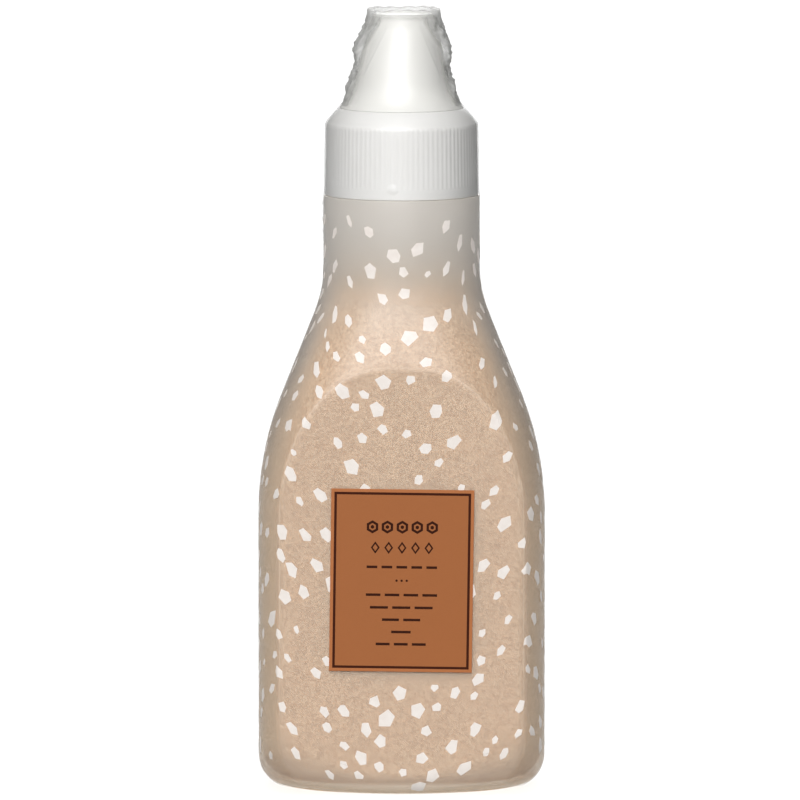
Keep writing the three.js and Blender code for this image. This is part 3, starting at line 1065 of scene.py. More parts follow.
@dataclass
class SugarFilling(SubAssembly):
    """The sugar, which fills the bottle into its neck and has an uneven top."""

    form: BottleForm
    bottle: FrostedBottle
    level: float = 117.2
    dips: float = 0.9
    lean_right: float = -0.03
    lean_back: float = 0.05
    into_wall: float = 0.12
    grit: float = 0.28
    grit_size: float = 0.9
    sides: int = 192
    top_rings: int = 44

    def edge_offset(self, degrees: float) -> float:
        """Gives how far the sugar is from the CAD bottle's surface, at an angle up the base's edge."""
        return self.bottle.inner_offset(degrees) + self.into_wall

    def top_height(self, x: Array, y: Array) -> Array:
        """Gives the height of the sugar's top without its grit.

        Args:
            x: Places to the right of the axis.
            y: Places behind the axis.

        Returns:
            The height at each.
        """
        # dips about 20 mm and 10 mm apart
        wide = np.sin(0.31 * x + 0.9) * np.cos(0.27 * y - 0.4)
        narrow = 0.5 * np.sin(0.36 * x + 0.52 * y)
        return self.level + self.lean_right * x + self.lean_back * y + self.dips * (wide + narrow)

    def gritty_height(self, x: Array, y: Array) -> Array:
        """Gives the height of the sugar's top with the relief of its grains.

        Args:
            x: Places to the right of the axis.
            y: Places behind the axis.

        Returns:
            The height at each.
        """
        flat = np.column_stack([x, y, np.zeros_like(x)])
        coarse = lattice_noise(flat / (2.4 * self.grit_size), 5)
        fine = lattice_noise(flat / self.grit_size, 9)
        return self.top_height(x, y) + self.grit * (coarse + fine)

    def on_top(self, angle: Array, share: float, offset: float) -> Place:
        """Gives a place on the sugar's top.

        Args:
            angle: Angles from the front, in radians.
            share: Its share of the way out to the wall.
            offset: How far the sugar's outside is from the CAD bottle's surface.

        Returns:
            The radius and height at each angle.
        """
        out = share * self.form.radius(angle, np.full_like(angle, self.level), offset)
        height = self.gritty_height(out * np.sin(angle), -out * np.cos(angle))
        return share * self.form.radius(angle, height, offset), height

    def build(self) -> list[Piece]:
        """Builds the sugar.

        Returns:
            The filling.
        """
        form = self.form
        offset = self.into_wall - self.bottle.wall
        heights = list(np.linspace(form.shoulder_bottom, self.level - 3 * self.dips, 44))[1:]
        stations = [ring(0, self.bottle.base_wall - self.into_wall)]
        stations += form.wall_stations(self.edge_offset, offset, heights)
        shares = np.linspace(1, 0, self.top_rings)[:-1]
        stations += [partial(self.on_top, share=share, offset=offset) for share in shares]
        stations.append(ring(0, float(self.gritty_height(np.zeros(1), np.zeros(1))[0])))
        finish = PackedSugar().build("brown_sugar_packed")
        return [place("sugar_fill", spin(stations, self.sides), [finish], ["sugar"])]


@dataclass
class LooseSugar(SubAssembly):
    """Loose grains on top of the sugar and clinging inside the neck, each a small crystal of its own."""

    filling: SugarFilling
    top_count: int = 1500
    clinging_count: int = 1100
    smallest: float = 0.28
    largest: float = 0.62
    cling_top: float = 136.0
    top_share: float = 0.93
    top_proud: float = 0.15
    clinging_sunk: float = 0.2
    clinging_sizes: tuple[float, float] = (0.6, 0.75)
    thinning: float = 2.6
    narrowest: float = 0.75
    tip: float = 1.5
    uneven: float = 0.16
    across: float = 2.6
    seed: int = 41

    def crystals(self, centres: Array, sizes: Array, random: np.random.Generator) -> Shape:
        """Makes one crystal at each centre.

        Args:
            centres: Where they are, in three columns.
            sizes: How wide each is.
            random: Draws their forms and turns.

        Returns:
            All the crystals as one shape.
        """
        corners = np.array([(x, y, z) for x in (-1, 1) for y in (-1, 1) for z in (-1, 1)], float)
        tips = np.array([(0, 0, self.tip), (0, 0, -self.tip)])
        block = np.vstack([corners, tips])
        sides = [(0, 4, 5, 1), (4, 6, 7, 5), (6, 2, 3, 7), (2, 0, 1, 3)]
        caps = [(1, 5, 8), (5, 7, 8), (7, 3, 8), (3, 1, 8), (4, 0, 9), (6, 4, 9), (2, 6, 9), (0, 2, 9)]
        grains: list[Shape] = []
        for centre, size in zip(centres, sizes):
            form = block * random.uniform(self.narrowest, 1.0, (1, 3))
            form = form + random.uniform(-self.uneven, self.uneven, block.shape)
            turn, _ = np.linalg.qr(random.normal(size=(3, 3)))
            turn = turn * np.sign(np.linalg.det(turn))
            grains.append(Shape(centre + form @ turn.T * (size / self.across), sides + caps))
        return join(grains)

    def build(self) -> list[Piece]:
        """Builds both kinds of loose grain.

        Returns:
            The two kinds of grain.
        """
        random = np.random.default_rng(self.seed)
        form = self.filling.form
        inside = -self.filling.bottle.wall
        angle = random.uniform(0, 2 * math.pi, self.top_count)
        share = np.sqrt(random.uniform(0, self.top_share, self.top_count))
        size = random.uniform(self.smallest, self.largest, self.top_count)
        out = share * form.radius(angle, np.full_like(angle, self.filling.level), inside)
        x, y = out * np.sin(angle), -out * np.cos(angle)
        height = self.filling.gritty_height(x, y) + self.top_proud * size
        on_top = self.crystals(np.column_stack([x, y, height]), size, random)
        angle = random.uniform(0, 2 * math.pi, self.clinging_count)
        climb = random.beta(1.0, self.thinning, self.clinging_count)
        least, most = self.clinging_sizes
        size = random.uniform(least * self.smallest, most * self.largest, self.clinging_count)
        height = blend(self.filling.level + 1.0, self.cling_top, climb)
        out = form.radius(angle, height, inside) - self.clinging_sunk * size
        clinging = self.crystals(around_axis(out, angle, height), size, random)
        finish = PackedSugar(pale="#efd2b0", warm="#cda278", dark="#b08458").build("brown_sugar_loose")
        return [
            place("sugar_grains_on_top", on_top, [finish], smooth=False),
            place("sugar_grains_in_neck", clinging, [finish], smooth=False),
        ]


@dataclass
class ScrewClosure(SubAssembly):
    """The closure: a smooth band, fine upright ribs, a rounded edge and a sloped shoulder."""

    bottom: float = 140.95
    ribs_from: float = 143.3
    ribs_to: float = 157.1
    bottom_radius: float = 18.1
    top_radius: float = 17.86
    rib_count: int = 92
    rib_depth: float = 0.052
    edge_from: float = 156.95
    edge_round: float = 2.0
    edge_turn: float = 39.4
    top: float = 161.5
    top_rim: float = 14.74
    lower_edge: float = 0.14
    band_to: float = 145.2
    rim_edge: float = 0.12
    bulge: float = 0.1
    bow: float = 0.2
    wall: float = 1.6
    nub_angle: float = -6.8
    nub_height: float = 143.5
    nub_half_width: float = 1.5
    nub_half_height: float = 1.2
    nub_proud: float = 0.17
    sides_per_rib: int = 8
    rib_sharpness: float = 1.7
    rib_start: float = 0.5
    rib_end: tuple[float, float] = (0.3, 1.0)
    skirt_rows_from: float = 147.0
    skirt_rows_to: float = 156.6
    seam: float = 0.04

    def skirt_radius(self, angle: Array, height: float) -> Array:
        """Gives the skirt's radius with its ribs and the nub low on the front.

        Args:
            angle: Angles from the front, in radians.
            height: The height above the base.

        Returns:
            The radius at each angle.
        """
        taper = (height - self.ribs_from) / (self.ribs_to - self.ribs_from)
        base = blend(self.bottom_radius, self.top_radius, min(max(taper, 0.0), 1.0))
        ribbed = float(ease(np.array(height), self.ribs_from, self.ribs_from + self.rib_start))
        fading, gone = self.rib_end
        ribbed *= 1 - float(ease(np.array(height), self.ribs_to + fading, self.ribs_to + gone))
        wave = np.clip(self.rib_sharpness * np.cos(self.rib_count * angle), -1, 1)
        groove = 0.5 - 0.5 * wave
        across = from_direction(angle, self.nub_angle) * self.bottom_radius / self.nub_half_width
        along = (height - self.nub_height) / self.nub_half_height
        nub = self.nub_proud * np.maximum(1 - across**2 - along**2, 0)
        return base - self.rib_depth * ribbed * groove * (1 - nub / self.nub_proud) + nub

    def skirt_station(self, height: float, inset: float = 0.0) -> Station:
        """Gives a station on the outside of the skirt."""
        return lambda angles: (self.skirt_radius(angles, height) - inset, np.full_like(angles, height))

    def build(self) -> list[Piece]:
        """Builds the closure.

        Returns:
            The closure.
        """
        bore = self.bottom_radius - self.wall - self.rib_depth
        low, soft = self.bottom, self.lower_edge
        outside = [self.skirt_station(low, soft), self.skirt_station(low + self.seam, self.seam)]
        band = np.linspace(low + soft, self.band_to, 18)
        ribbed = np.linspace(self.skirt_rows_from, self.skirt_rows_to, 6)
        outside += [self.skirt_station(height) for height in (*band, *ribbed)]
        for turn in np.radians(np.linspace(0, self.edge_turn, 10)):
            height = self.edge_from + self.edge_round * math.sin(turn)
            outside.append(self.skirt_station(height, self.edge_round * (1 - math.cos(turn))))
        turn = math.radians(self.edge_turn)
        start = np.array([self.top_radius, self.edge_from])
        start += self.edge_round * np.array([math.cos(turn) - 1, math.sin(turn)])
        rim = np.array([self.top_rim, self.top])
        bend = (start + rim) / 2 + self.bulge
        end = rim + np.array([self.rim_edge, -self.rim_edge])
        for share in np.linspace(0, 1, 12)[1:]:
            middle = 2 * share * (1 - share)
            radius, height = (1 - share) ** 2 * start + middle * (bend + self.bow) + share**2 * end
            outside.append(ring(radius, height))
        inner_top = self.top - self.wall
        hidden = [
            ring(self.top_rim - self.seam, self.top - 0.01),
            ring(self.top_rim - 0.3, self.top),
            ring(0, self.top),
            ring(0, inner_top),
            ring(self.top_rim - self.wall, inner_top),
            ring(bore, self.ribs_to),
            ring(bore, self.bottom),
        ]
        shape = spin([*outside, *hidden], self.rib_count * self.sides_per_rib, closed=True)
        finish = MouldedPolypropylene().build("white_polypropylene_moulded")
        return [place("screw_closure", shape, [finish], ["closure"])]


@dataclass(frozen=True)
class CoverForm:
    """The outside of the spout cover: a hollow flare at the foot, then a straight cone."""

    foot_radius: float = 14.74
    waist_radius: float = 11.41
    waist: float = 168.0
    top_radius: float = 7.3
    top: float = 184.0
    bottom: float = 161.53
    aside: float = 0.45

    def shifted(self, shape: Shape) -> Shape:
        """Leans a shape over to the right towards its top, as the cover sits not quite straight."""
        shape.points[:, 0] += self.aside * ease(shape.points[:, 2], self.waist, self.top)
        return shape

    def radius(self, height: Array) -> Array:
        """Gives the cover's radius at each height.

        Args:
            height: Heights above the bottle's base.

        Returns:
            The radius at each.
        """
        lean = (self.waist_radius - self.top_radius) / (self.top - self.waist)
        cone = self.waist_radius + lean * (self.waist - height)
        foot_drop = self.waist - self.bottom
        spread = self.foot_radius - self.waist_radius - lean * foot_drop
        drop = np.clip(self.waist - height, 0, foot_drop)
        return cone + spread * (drop / foot_drop) ** 2


@dataclass
class SpoutCover(SubAssembly):
    """The hollow conical cover of the spout."""

    form: CoverForm
    edge: float = 0.6
    foot_rows: tuple[tuple[float, float], ...] = ((0.0, 0.1), (0.08, 0.02))
    foot_edge: float = 0.25
    dish_insets: tuple[float, float] = (1.1, 1.4)
    dish_depth: float = 0.25
    wall: float = 1.3
    sides: int = 160

    def station(self, height: float, inset: float = 0.0) -> Station:
        """Gives a station on the cover, inset from its outside."""
        return ring(float(self.form.radius(np.array(height))) - inset, height)

    def build(self) -> list[Piece]:
        """Builds the cover.

        Returns:
            The cover.
        """
        form = self.form
        outside = [self.station(form.bottom + up, inset) for up, inset in self.foot_rows]
        flare = np.linspace(form.bottom + self.foot_edge, form.waist, 14)
        cone = np.linspace(form.waist, form.top - self.edge, 14)[1:]
        outside += [self.station(height) for height in (*flare, *cone)]
        for turn in np.linspace(0, math.pi / 2, 7)[1:]:
            inset = self.edge * (1 - math.cos(turn))
            outside.append(self.station(form.top - self.edge * (1 - math.sin(turn)), inset))
        lip, floor = self.dish_insets
        dish = [ring(form.top_radius - lip, form.top)]
        dish += [ring(radius, form.top - self.dish_depth) for radius in (form.top_radius - floor, 0)]
        inner_top = form.top - self.wall
        hidden = [ring(0, inner_top)]
        hidden += [self.station(height, self.wall) for height in (inner_top, form.waist, form.bottom)]
        shape = self.form.shifted(spin([*outside, *dish, *hidden], self.sides, closed=True))
        finish = MouldedPolypropylene("#f4f3ef", "#f0efea", 0.46).build("white_polypropylene_cover")
        return [place("spout_cover_cone", shape, [finish], ["spout_cover"])]


# ---- Film, print and label ----


@dataclass(frozen=True)
class FilmCrease:
    """A fine level wrinkle in the film round the neck."""

    degrees: float
    height: float
    half_length: float
    proud: float


@dataclass(frozen=True)
class RimWave:
    """A wave of the film's rim: its height in millimetres, how many go round, and where it starts."""

    size: float
    count: int
    start: float = 0.0


@dataclass
class ShrinkSleeve(SubAssembly):
    """The clear film from the base's edge over the closure to the open rim above the spout cover."""

    form: BottleForm
    cover: CoverForm
    offset: float = 0.55
    thickness: float = 0.06
    hem: float = 28.0
    rim_height: float = 185.3
    rim_radius: float = 8.7
    mouth_radius: float = 6.9
    hood_from: float = 162.5
    ears_from: float = 166.5
    ears_to: float = 180.5
    ear_heights: tuple[float, ...] = (162.5, 165.0, 167.5, 170.2, 173.0, 175.5, 178.0, 181.0, 184.0)
    ear_radii: tuple[float, ...] = (14.1, 13.1, 12.35, 11.5, 11.15, 11.45, 10.8, 9.1, 8.7)
    fold: FilmFold = FilmFold()
    fold_width: float = 12.0
    pleat_degrees: float = 27.0
    pleat_lean: float = 2.2
    pleat_proud: float = 0.22
    pleat_width: float = 2.4
    crinkle: float = 0.42
    nub_angle: float = -6.8
    nub_height: float = 143.5
    nub_proud: float = 0.12
    nub_reach: float = 1.2
    crease_bow: float = 0.25
    crease_width: float = 0.28
    ripple_at: float = -90.0
    ripple_proud: float = 0.22
    ripple_spread: float = 0.16
    rippled_from: tuple[float, float] = (129.0, 132.0)
    rippled_to: tuple[float, float] = (139.5, 142.0)
    crinkle_width: float = 2.2
    fine_crinkle_width: float = 0.75
    hood_width: float = 9.0
    gathered_margin: float = 8.0
    rolled_from: float = 0.6
    crinkle_mix: tuple[float, float, float] = (0.5, 0.8, 0.85)
    rim_calm: float = 0.8
    pleat_fade: float = 6.0
    creased_above: float = 100.0
    rim_margin: float = 0.16
    rim_rows: tuple[tuple[float, float], ...] = ((0.0, -0.45), (0.1, -0.12), (0.4, 0.0), (1.1, -0.03))
    mouth_drop: float = 0.22
    over_neck: tuple[float, ...] = (124.0, 139.85)
    over_closure: tuple[tuple[float, float], ...] = (
        (141.35, 18.5),
        (142.6, 18.4),
        (157.4, 18.22),
        (158.1, 18.06),
        (160.0, 16.47),
        (161.9, 14.87),
    )
    over_cover: tuple[float, ...] = (163.0, 164.5, 166.0, 168.0, 184.0)
    cover_gap: float = 0.16
    drape: float = 0.4
    rim_in_out: tuple[RimWave, ...] = (RimWave(0.14, 5, 0.7), RimWave(0.09, 11))
    rim_up_down: tuple[RimWave, ...] = (RimWave(0.14, 3, 1.1), RimWave(0.1, 13))
    sides: int = 216
    upper_rows: tuple[tuple[float, float, int], ...] = (
        (124.6, 141.4, 26),
        (142.0, 157.4, 6),
        (157.8, 162.4, 14),
        (162.7, 184.0, 84),
    )
    creases: tuple[FilmCrease, ...] = (
        FilmCrease(19.0, 139.9, 3.2, 0.24),
        FilmCrease(-38.0, 138.4, 3.6, 0.22),
        FilmCrease(3.0, 121.5, 4.6, 0.28),
        FilmCrease(13.0, 117.3, 3.4, 0.22),
        FilmCrease(-4.0, 108.0, 2.6, 0.14),
        FilmCrease(-12.0, 104.6, 3.0, 0.09),
        FilmCrease(158.0, 118.4, 4.0, 0.14),
        FilmCrease(201.0, 112.0, 3.2, 0.12),
    )

    def tight_radius(self, height: Array) -> Array:
        """Gives the film's outer radius where it lies close on the neck, closure and cover.

        Args:
            height: Heights above the base.

        Returns:
            The radius at each.
        """
        neck = self.form.neck_radius + self.offset
        on_neck = [(up, neck) for up in self.over_neck]
        on_cover = [(up, float(self.cover.radius(np.array(up))) + self.cover_gap) for up in self.over_cover]
        heights, radii = zip(*on_neck, *self.over_closure, *on_cover)
        window = np.linspace(-self.drape, self.drape, 9)
        spread = [np.interp(height + step, heights, radii) for step in window]
        return np.mean(spread, axis=0)

    def neck_relief(self, angle: Array, height: Array) -> Array:
        """Gives the relief of the wrinkles round the neck and of the rough fold under the closure.

        Args:
            angle: Angles from the front, in radians.
            height: Heights above the base.

        Returns:
            How far the film stands out at each.
        """
        relief = np.zeros(np.broadcast(angle, height).shape)
        for crease in self.creases:
            aside = from_direction(angle, crease.degrees)
            along = aside * self.form.neck_radius / crease.half_length
            bow = height - crease.height - self.crease_bow * along**2
            ridge = np.exp(-((bow / self.crease_width) ** 2))
            relief = relief + crease.proud * ridge * np.exp(-(along**2) * 2)
        left = np.exp(-((from_direction(angle, self.ripple_at) / self.ripple_spread) ** 2))
        where = ease(height, *self.rippled_from) * (1 - ease(height, *self.rippled_to))
        # folds about 2 mm apart, unevenly
        ripple = 0.5 + 0.5 * np.sin(2.9 * height + 1.3 * np.sin(1.1 * height))
        aside = from_direction(angle, self.nub_angle) * self.form.neck_radius
        from_nub = np.hypot(aside, height - self.nub_height)
        nub = self.nub_proud * np.exp(-((from_nub / self.nub_reach) ** 2))
        return relief + self.ripple_proud * left * where * ripple + nub

    def lie(self, centres: Array) -> Array:
        """Tells for places on the film how it lies: 0 for flat, 1 for gathered and 2 for rolled.

        Args:
            centres: The places, in three columns.

        Returns:
            The number for each place.
        """
        height = centres[:, 2]
        from_face = np.degrees(np.arctan2(np.abs(centres[:, 0]), np.abs(centres[:, 1])))
        gathered = from_face > self.fold.start(height) - self.gathered_margin
        beside = (height > self.hood_from) & gathered
        return np.where(height > self.cover.top - self.rolled_from, 2, np.where(beside, 1, 0))

    def hood_radius(self, angle: Array, height: Array) -> Array:
        """Gives the film's radius over the cover: tight at front and back, crinkled at the sides.

        Args:
            angle: Angles from the front, in radians.
            height: Heights above the base.

        Returns:
            The radius at each.
        """
        tight = self.tight_radius(height)
        from_face = np.degrees(np.abs(np.arcsin(np.sin(angle))))
        start = self.fold.start(height)
        rim_share = ease(height, self.ears_to, self.cover.top)
        loose = np.maximum(ease(from_face, start, start + self.fold_width), rim_share)
        waves = np.sin(9 * angle + 0.55 * height) + 0.6 * np.sin(17 * angle - 0.8 * height)
        width = self.hood_width
        cells = np.column_stack([width * np.sin(angle), width * np.cos(angle), height])
        sharp = 1 - 2 * np.abs(lattice_noise(cells / self.crinkle_width, 3))
        small = lattice_noise(cells / self.fine_crinkle_width, 7)
        waved, creased, fine = self.crinkle_mix
        crinkles = self.crinkle * (waved * waves + creased * sharp + fine * small)
        crinkles = crinkles * (1 - self.rim_calm * rim_share)
        on = ease(height, self.hood_from, self.ears_from)
        ears = np.interp(height, self.ear_heights, self.ear_radii)
        out = blend(tight, ears, loose) + loose * on * crinkles
        pleats = np.zeros_like(out)
        folds = ((self.pleat_degrees, self.pleat_lean), (self.fold.degrees, self.fold.lean))
        for degrees, lean in folds:
            away = (from_face - degrees - lean * (self.fold.height - height)) / self.pleat_width
            pleats = pleats + self.pleat_proud * np.exp(-(away**2))
        faded = ease(height, self.ears_from, self.ears_from + self.pleat_fade) * (1 - rim_share)
        return np.maximum(tight, out) + pleats * faded

    def outer_radius(self, angle: Array, height: Array) -> Array:
        """Gives the radius of the film's outer face from the shoulder up to the rim.

        Args:
            angle: Angles from the front, in radians.
            height: Heights above the base.

        Returns:
            The radius at each.
        """
        neck = self.form.shoulder_top
        bottle = self.form.radius(angle, np.minimum(height, neck), self.offset)
        low = np.where(height <= neck, bottle, self.tight_radius(height))
        low = low + self.neck_relief(angle, height)
        return np.where(height < self.hood_from, low, self.hood_radius(angle, height))

    def surface(self, angle: Array, climb: Array, lift: float) -> Array:
        """Gives points on the film below the closure.

        Args:
            angle: Angles from the front, in radians.
            climb: Millimetres above the top of the base's rounding, or below it where negative.
            lift: How far outside the film's outer face the points are.

        Returns:
            The points, in three columns.
        """
        radius, height = self.form.on_side(angle, climb, self.offset + lift)
        upper = self.outer_radius(angle, height) + lift
        return around_axis(np.where(height > self.creased_above, upper, radius), angle, height)

    def on_rim(self, angle: Array, radius: float, height: float) -> Place:
        """Gives a place on a ring of the rim, which waves slightly in and out and up and down.

        Args:
            angle: Angles from the front, in radians.
            radius: The ring's usual radius.
            height: Its usual height.

        Returns:
            The radius and height at each angle.
        """
        radii, heights = np.full_like(angle, radius), np.full_like(angle, height)
        for moved, waves in ((radii, self.rim_in_out), (heights, self.rim_up_down)):
            for wave in waves:
                moved += wave.size * np.sin(wave.count * angle + wave.start)
        return radii, heights

    def stations(self, inwards: float) -> list[Station]:
        """Gives all stations of one face of the film, from its hem to its mouth.

        Args:
            inwards: How far inside the outer face it is.

        Returns:
            The stations, from the bottom up.
        """
        form = self.form
        offset = self.offset - inwards
        turns = [math.radians(turn) for turn in np.linspace(self.hem, 90, 9)]
        rows = [partial(form.on_edge, turn=turn, offset=offset) for turn in turns]
        rows += [partial(form.on_upright, share=s, offset=offset) for s in np.linspace(0, 1, 9)[1:]]
        shoulder = np.linspace(form.shoulder_bottom, form.shoulder_top, 61)[1:]
        upper = [np.linspace(low, high, count) for low, high, count in self.upper_rows]
        heights = np.concatenate([shoulder, *upper])
        rows += [level(lambda a, h: self.outer_radius(a, h) - inwards, height) for height in heights]
        out, top = self.rim_radius - inwards, self.rim_height - self.rim_margin - inwards
        rim = [(out - inset, down) for inset, down in self.rim_rows]
        rim.append((self.mouth_radius, -self.mouth_drop))
        return rows + [partial(self.on_rim, radius=radius, height=top + down) for radius, down in rim]

    def build(self) -> list[Piece]:
        """Builds the film.

        Returns:
            The film.
        """
        rows = [*self.stations(0.0), *reversed(self.stations(self.thickness))]
        shape = self.cover.shifted(spin(rows, self.sides, closed=True))
        centres = np.array([shape.points[list(face)].mean(axis=0) for face in shape.faces])
        shape.bands = self.lie(centres).tolist()
        rolled = ShrinkFilm(haze="#dededc", haze_facing=0.22, haze_slanted=0.44, mirror_slanted=0.12)
        finishes = [
            ShrinkFilm().build("polyester_film_shrunk"),
            GatheredFilm().build("polyester_film_gathered"),
            rolled.build("polyester_film_rolled"),
        ]
        return [place("shrink_film", shape, finishes, ["shrink_sleeve"])]


class PolygonKind(Enum):
    """The kinds of printed polygon: its corners, how far one of them sticks out, and its share."""

    FIVE_SIDED = (5, 1.0, 0.62)
    SIX_SIDED = (6, 1.0, 0.16)
    POINTED = (5, 1.3, 0.22)


@dataclass
class PrintedPolygons(SubAssembly):
    """White polygons, like chips of sugar, scattered over the film of the body and neck."""

    sleeve: ShrinkSleeve
    label: "FrontLabel"
    count: int = 540
    tries: int = 60
    smallest: float = 0.8
    usual: float = 1.4
    largest: float = 2.3
    apart: float = 1.0
    lowest: float = -4.6
    highest: float = 127.0
    below_closure: float = 137.5
    proud: float = 0.025
    sunk: float = 0.02
    unlike: float = 0.2
    reach: tuple[float, float] = (0.84, 1.1)
    stretch: tuple[float, float] = (0.93, 1.07)
    widest: float = 36.0
    steps: int = 4
    layers: int = 3
    seed: int = 1

    def scatter(self, random: np.random.Generator) -> list[tuple[float, float, float]]:
        """Draws the polygons' places, evenly over the film and clear of each other.

        Args:
            random: Draws the numbers.

        Returns:
            Angle, climb and radius of each polygon.
        """
        chosen: list[tuple[float, float, float]] = []
        centres = np.empty((0, 3))
        radii = np.empty(0)
        for _ in range(self.tries * self.count):
            if len(chosen) == self.count:
                break
            angle, climb = random.uniform(-math.pi, math.pi), random.uniform(self.lowest, self.highest)
            radius = random.triangular(self.smallest, self.usual, self.largest)
            keep = random.uniform(0, self.widest)  # fewer are kept where the bottle is narrow
            at = self.sleeve.surface(np.array([angle]), np.array([climb]), 0.0)[0]
            if math.hypot(at[0], at[1]) < keep or at[2] + radius > self.below_closure:
                continue
            space = self.apart + radius + radii
            if len(radii) and np.any(np.linalg.norm(centres - at, axis=1) < space):
                continue
            chosen.append((angle, climb, radius))
            centres = np.vstack([centres, at])
            radii = np.append(radii, radius)
        return chosen

    def hidden(self, angle: float, climb: float, radius: float) -> bool:
        """Tells whether a polygon lies wholly behind the label.

        Args:
            angle: The angle of its middle from the front.
            climb: How far its middle is above the base's rounding.
            radius: Its radius.

        Returns:
            True if it does.
        """
        x, y, z = self.sleeve.surface(np.array([angle]), np.array([climb]), 0.0)[0]
        beside = self.label.width / 2 - abs(x) > radius
        over = self.label.height / 2 - abs(z - self.label.centre) > radius
        return bool(y < 0 and beside and over)

    def outline(self, radius: float, random: np.random.Generator) -> Array:
        """Draws an irregular polygon.

        Args:
            radius: Its usual radius.
            random: Draws its kind, its corners and its turn.

        Returns:
            Its corners, in two columns.
        """
        kind = random.choice(list(PolygonKind), p=[kind.value[-1] for kind in PolygonKind])
        corners, point = kind.value[:2]
        unlike = random.uniform(-self.unlike, self.unlike, corners)
        turns = (np.arange(corners) + unlike) * (2 * math.pi / corners)
        lengths = radius * random.uniform(*self.reach, corners)
        lengths[0] *= point
        turns = turns + random.uniform(0, 2 * math.pi)
        stretch = random.uniform(*self.stretch)
        return np.column_stack([lengths * np.cos(turns) * stretch, lengths * np.sin(turns) / stretch])

    def patch(self, angle: float, climb: float, corners: Array) -> Shape:
        """Makes one polygon as a thin plate that follows the film.

        Args:
            angle: The angle of its middle from the front.
            climb: How far its middle is above the base's rounding.
            corners: Its corners, in two columns.

        Returns:
            The closed shape.
        """
        turned, climbed = 0.0025, 0.05
        angles, climbs = angle + np.array([0, turned, 0]), climb + np.array([0, 0, climbed])
        middle, beside, above = self.sleeve.surface(angles, climbs, 0.0)
        per_angle = np.linalg.norm(beside - middle) / turned
        per_climb = np.linalg.norm(above - middle) / climbed
        shares = np.arange(self.steps) / self.steps
        edges = [blend(a, b, shares[:, None]) for a, b in zip(corners, np.roll(corners, -1, axis=0))]
        outline = np.vstack(edges)
        rows = [outline * (layer / self.layers) for layer in range(1, self.layers + 1)]
        flat = np.vstack([np.zeros((1, 2)), *rows])
        angles = angle + flat[:, 0] / per_angle
        climbs = climb + flat[:, 1] / per_climb
        top = self.sleeve.surface(angles, climbs, self.proud)
        under = self.sleeve.surface(angles, climbs, -self.sunk)
        size, around = len(flat), len(outline)
        faces: list[Face] = []
        for side in range(around):
            after = (side + 1) % around
            faces.append((0, 1 + side, 1 + after))
            faces.append((size, size + 1 + after, size + 1 + side))
            for layer in range(self.layers - 1):
                a, b = 1 + layer * around + side, 1 + layer * around + after
                faces.append((a, a + around, b + around, b))
                faces.append((size + a, size + b, size + b + around, size + a + around))
            a, b = size - around + side, size - around + after
            faces.append((a, size + a, size + b, b))
        return Shape(np.vstack([top, under]), faces)

    def build(self) -> list[Piece]:
        """Builds all the polygons as one piece.

        Returns:
            The polygons.
        """
        random = np.random.default_rng(self.seed)
        patches: list[Shape] = []
        for angle, climb, radius in self.scatter(random):
            corners = self.outline(radius, random)
            if not self.hidden(angle, climb, radius):
                patches.append(self.patch(angle, climb, corners))
        finish = PrintedInk("#e7e0da", "#e0d8d1").build("white_ink_printed")
        piece = place("film_polygons", join(patches), [finish], smooth=False)
        piece.visible_shadow = False  # milky plastic under the print spreads so thin a shadow away
        return [piece]


class Mark(Enum):
    """The simple shapes printed on the label."""

    CRYSTAL = "crystal"
    LOZENGE = "lozenge"
    DASH = "dash"
    DOT = "dot"


@dataclass(frozen=True)
class MarkRow:
    """A row of marks on the label, centred across it."""

    kind: Mark
    above: float
    width: float
    tall: float
    count: int


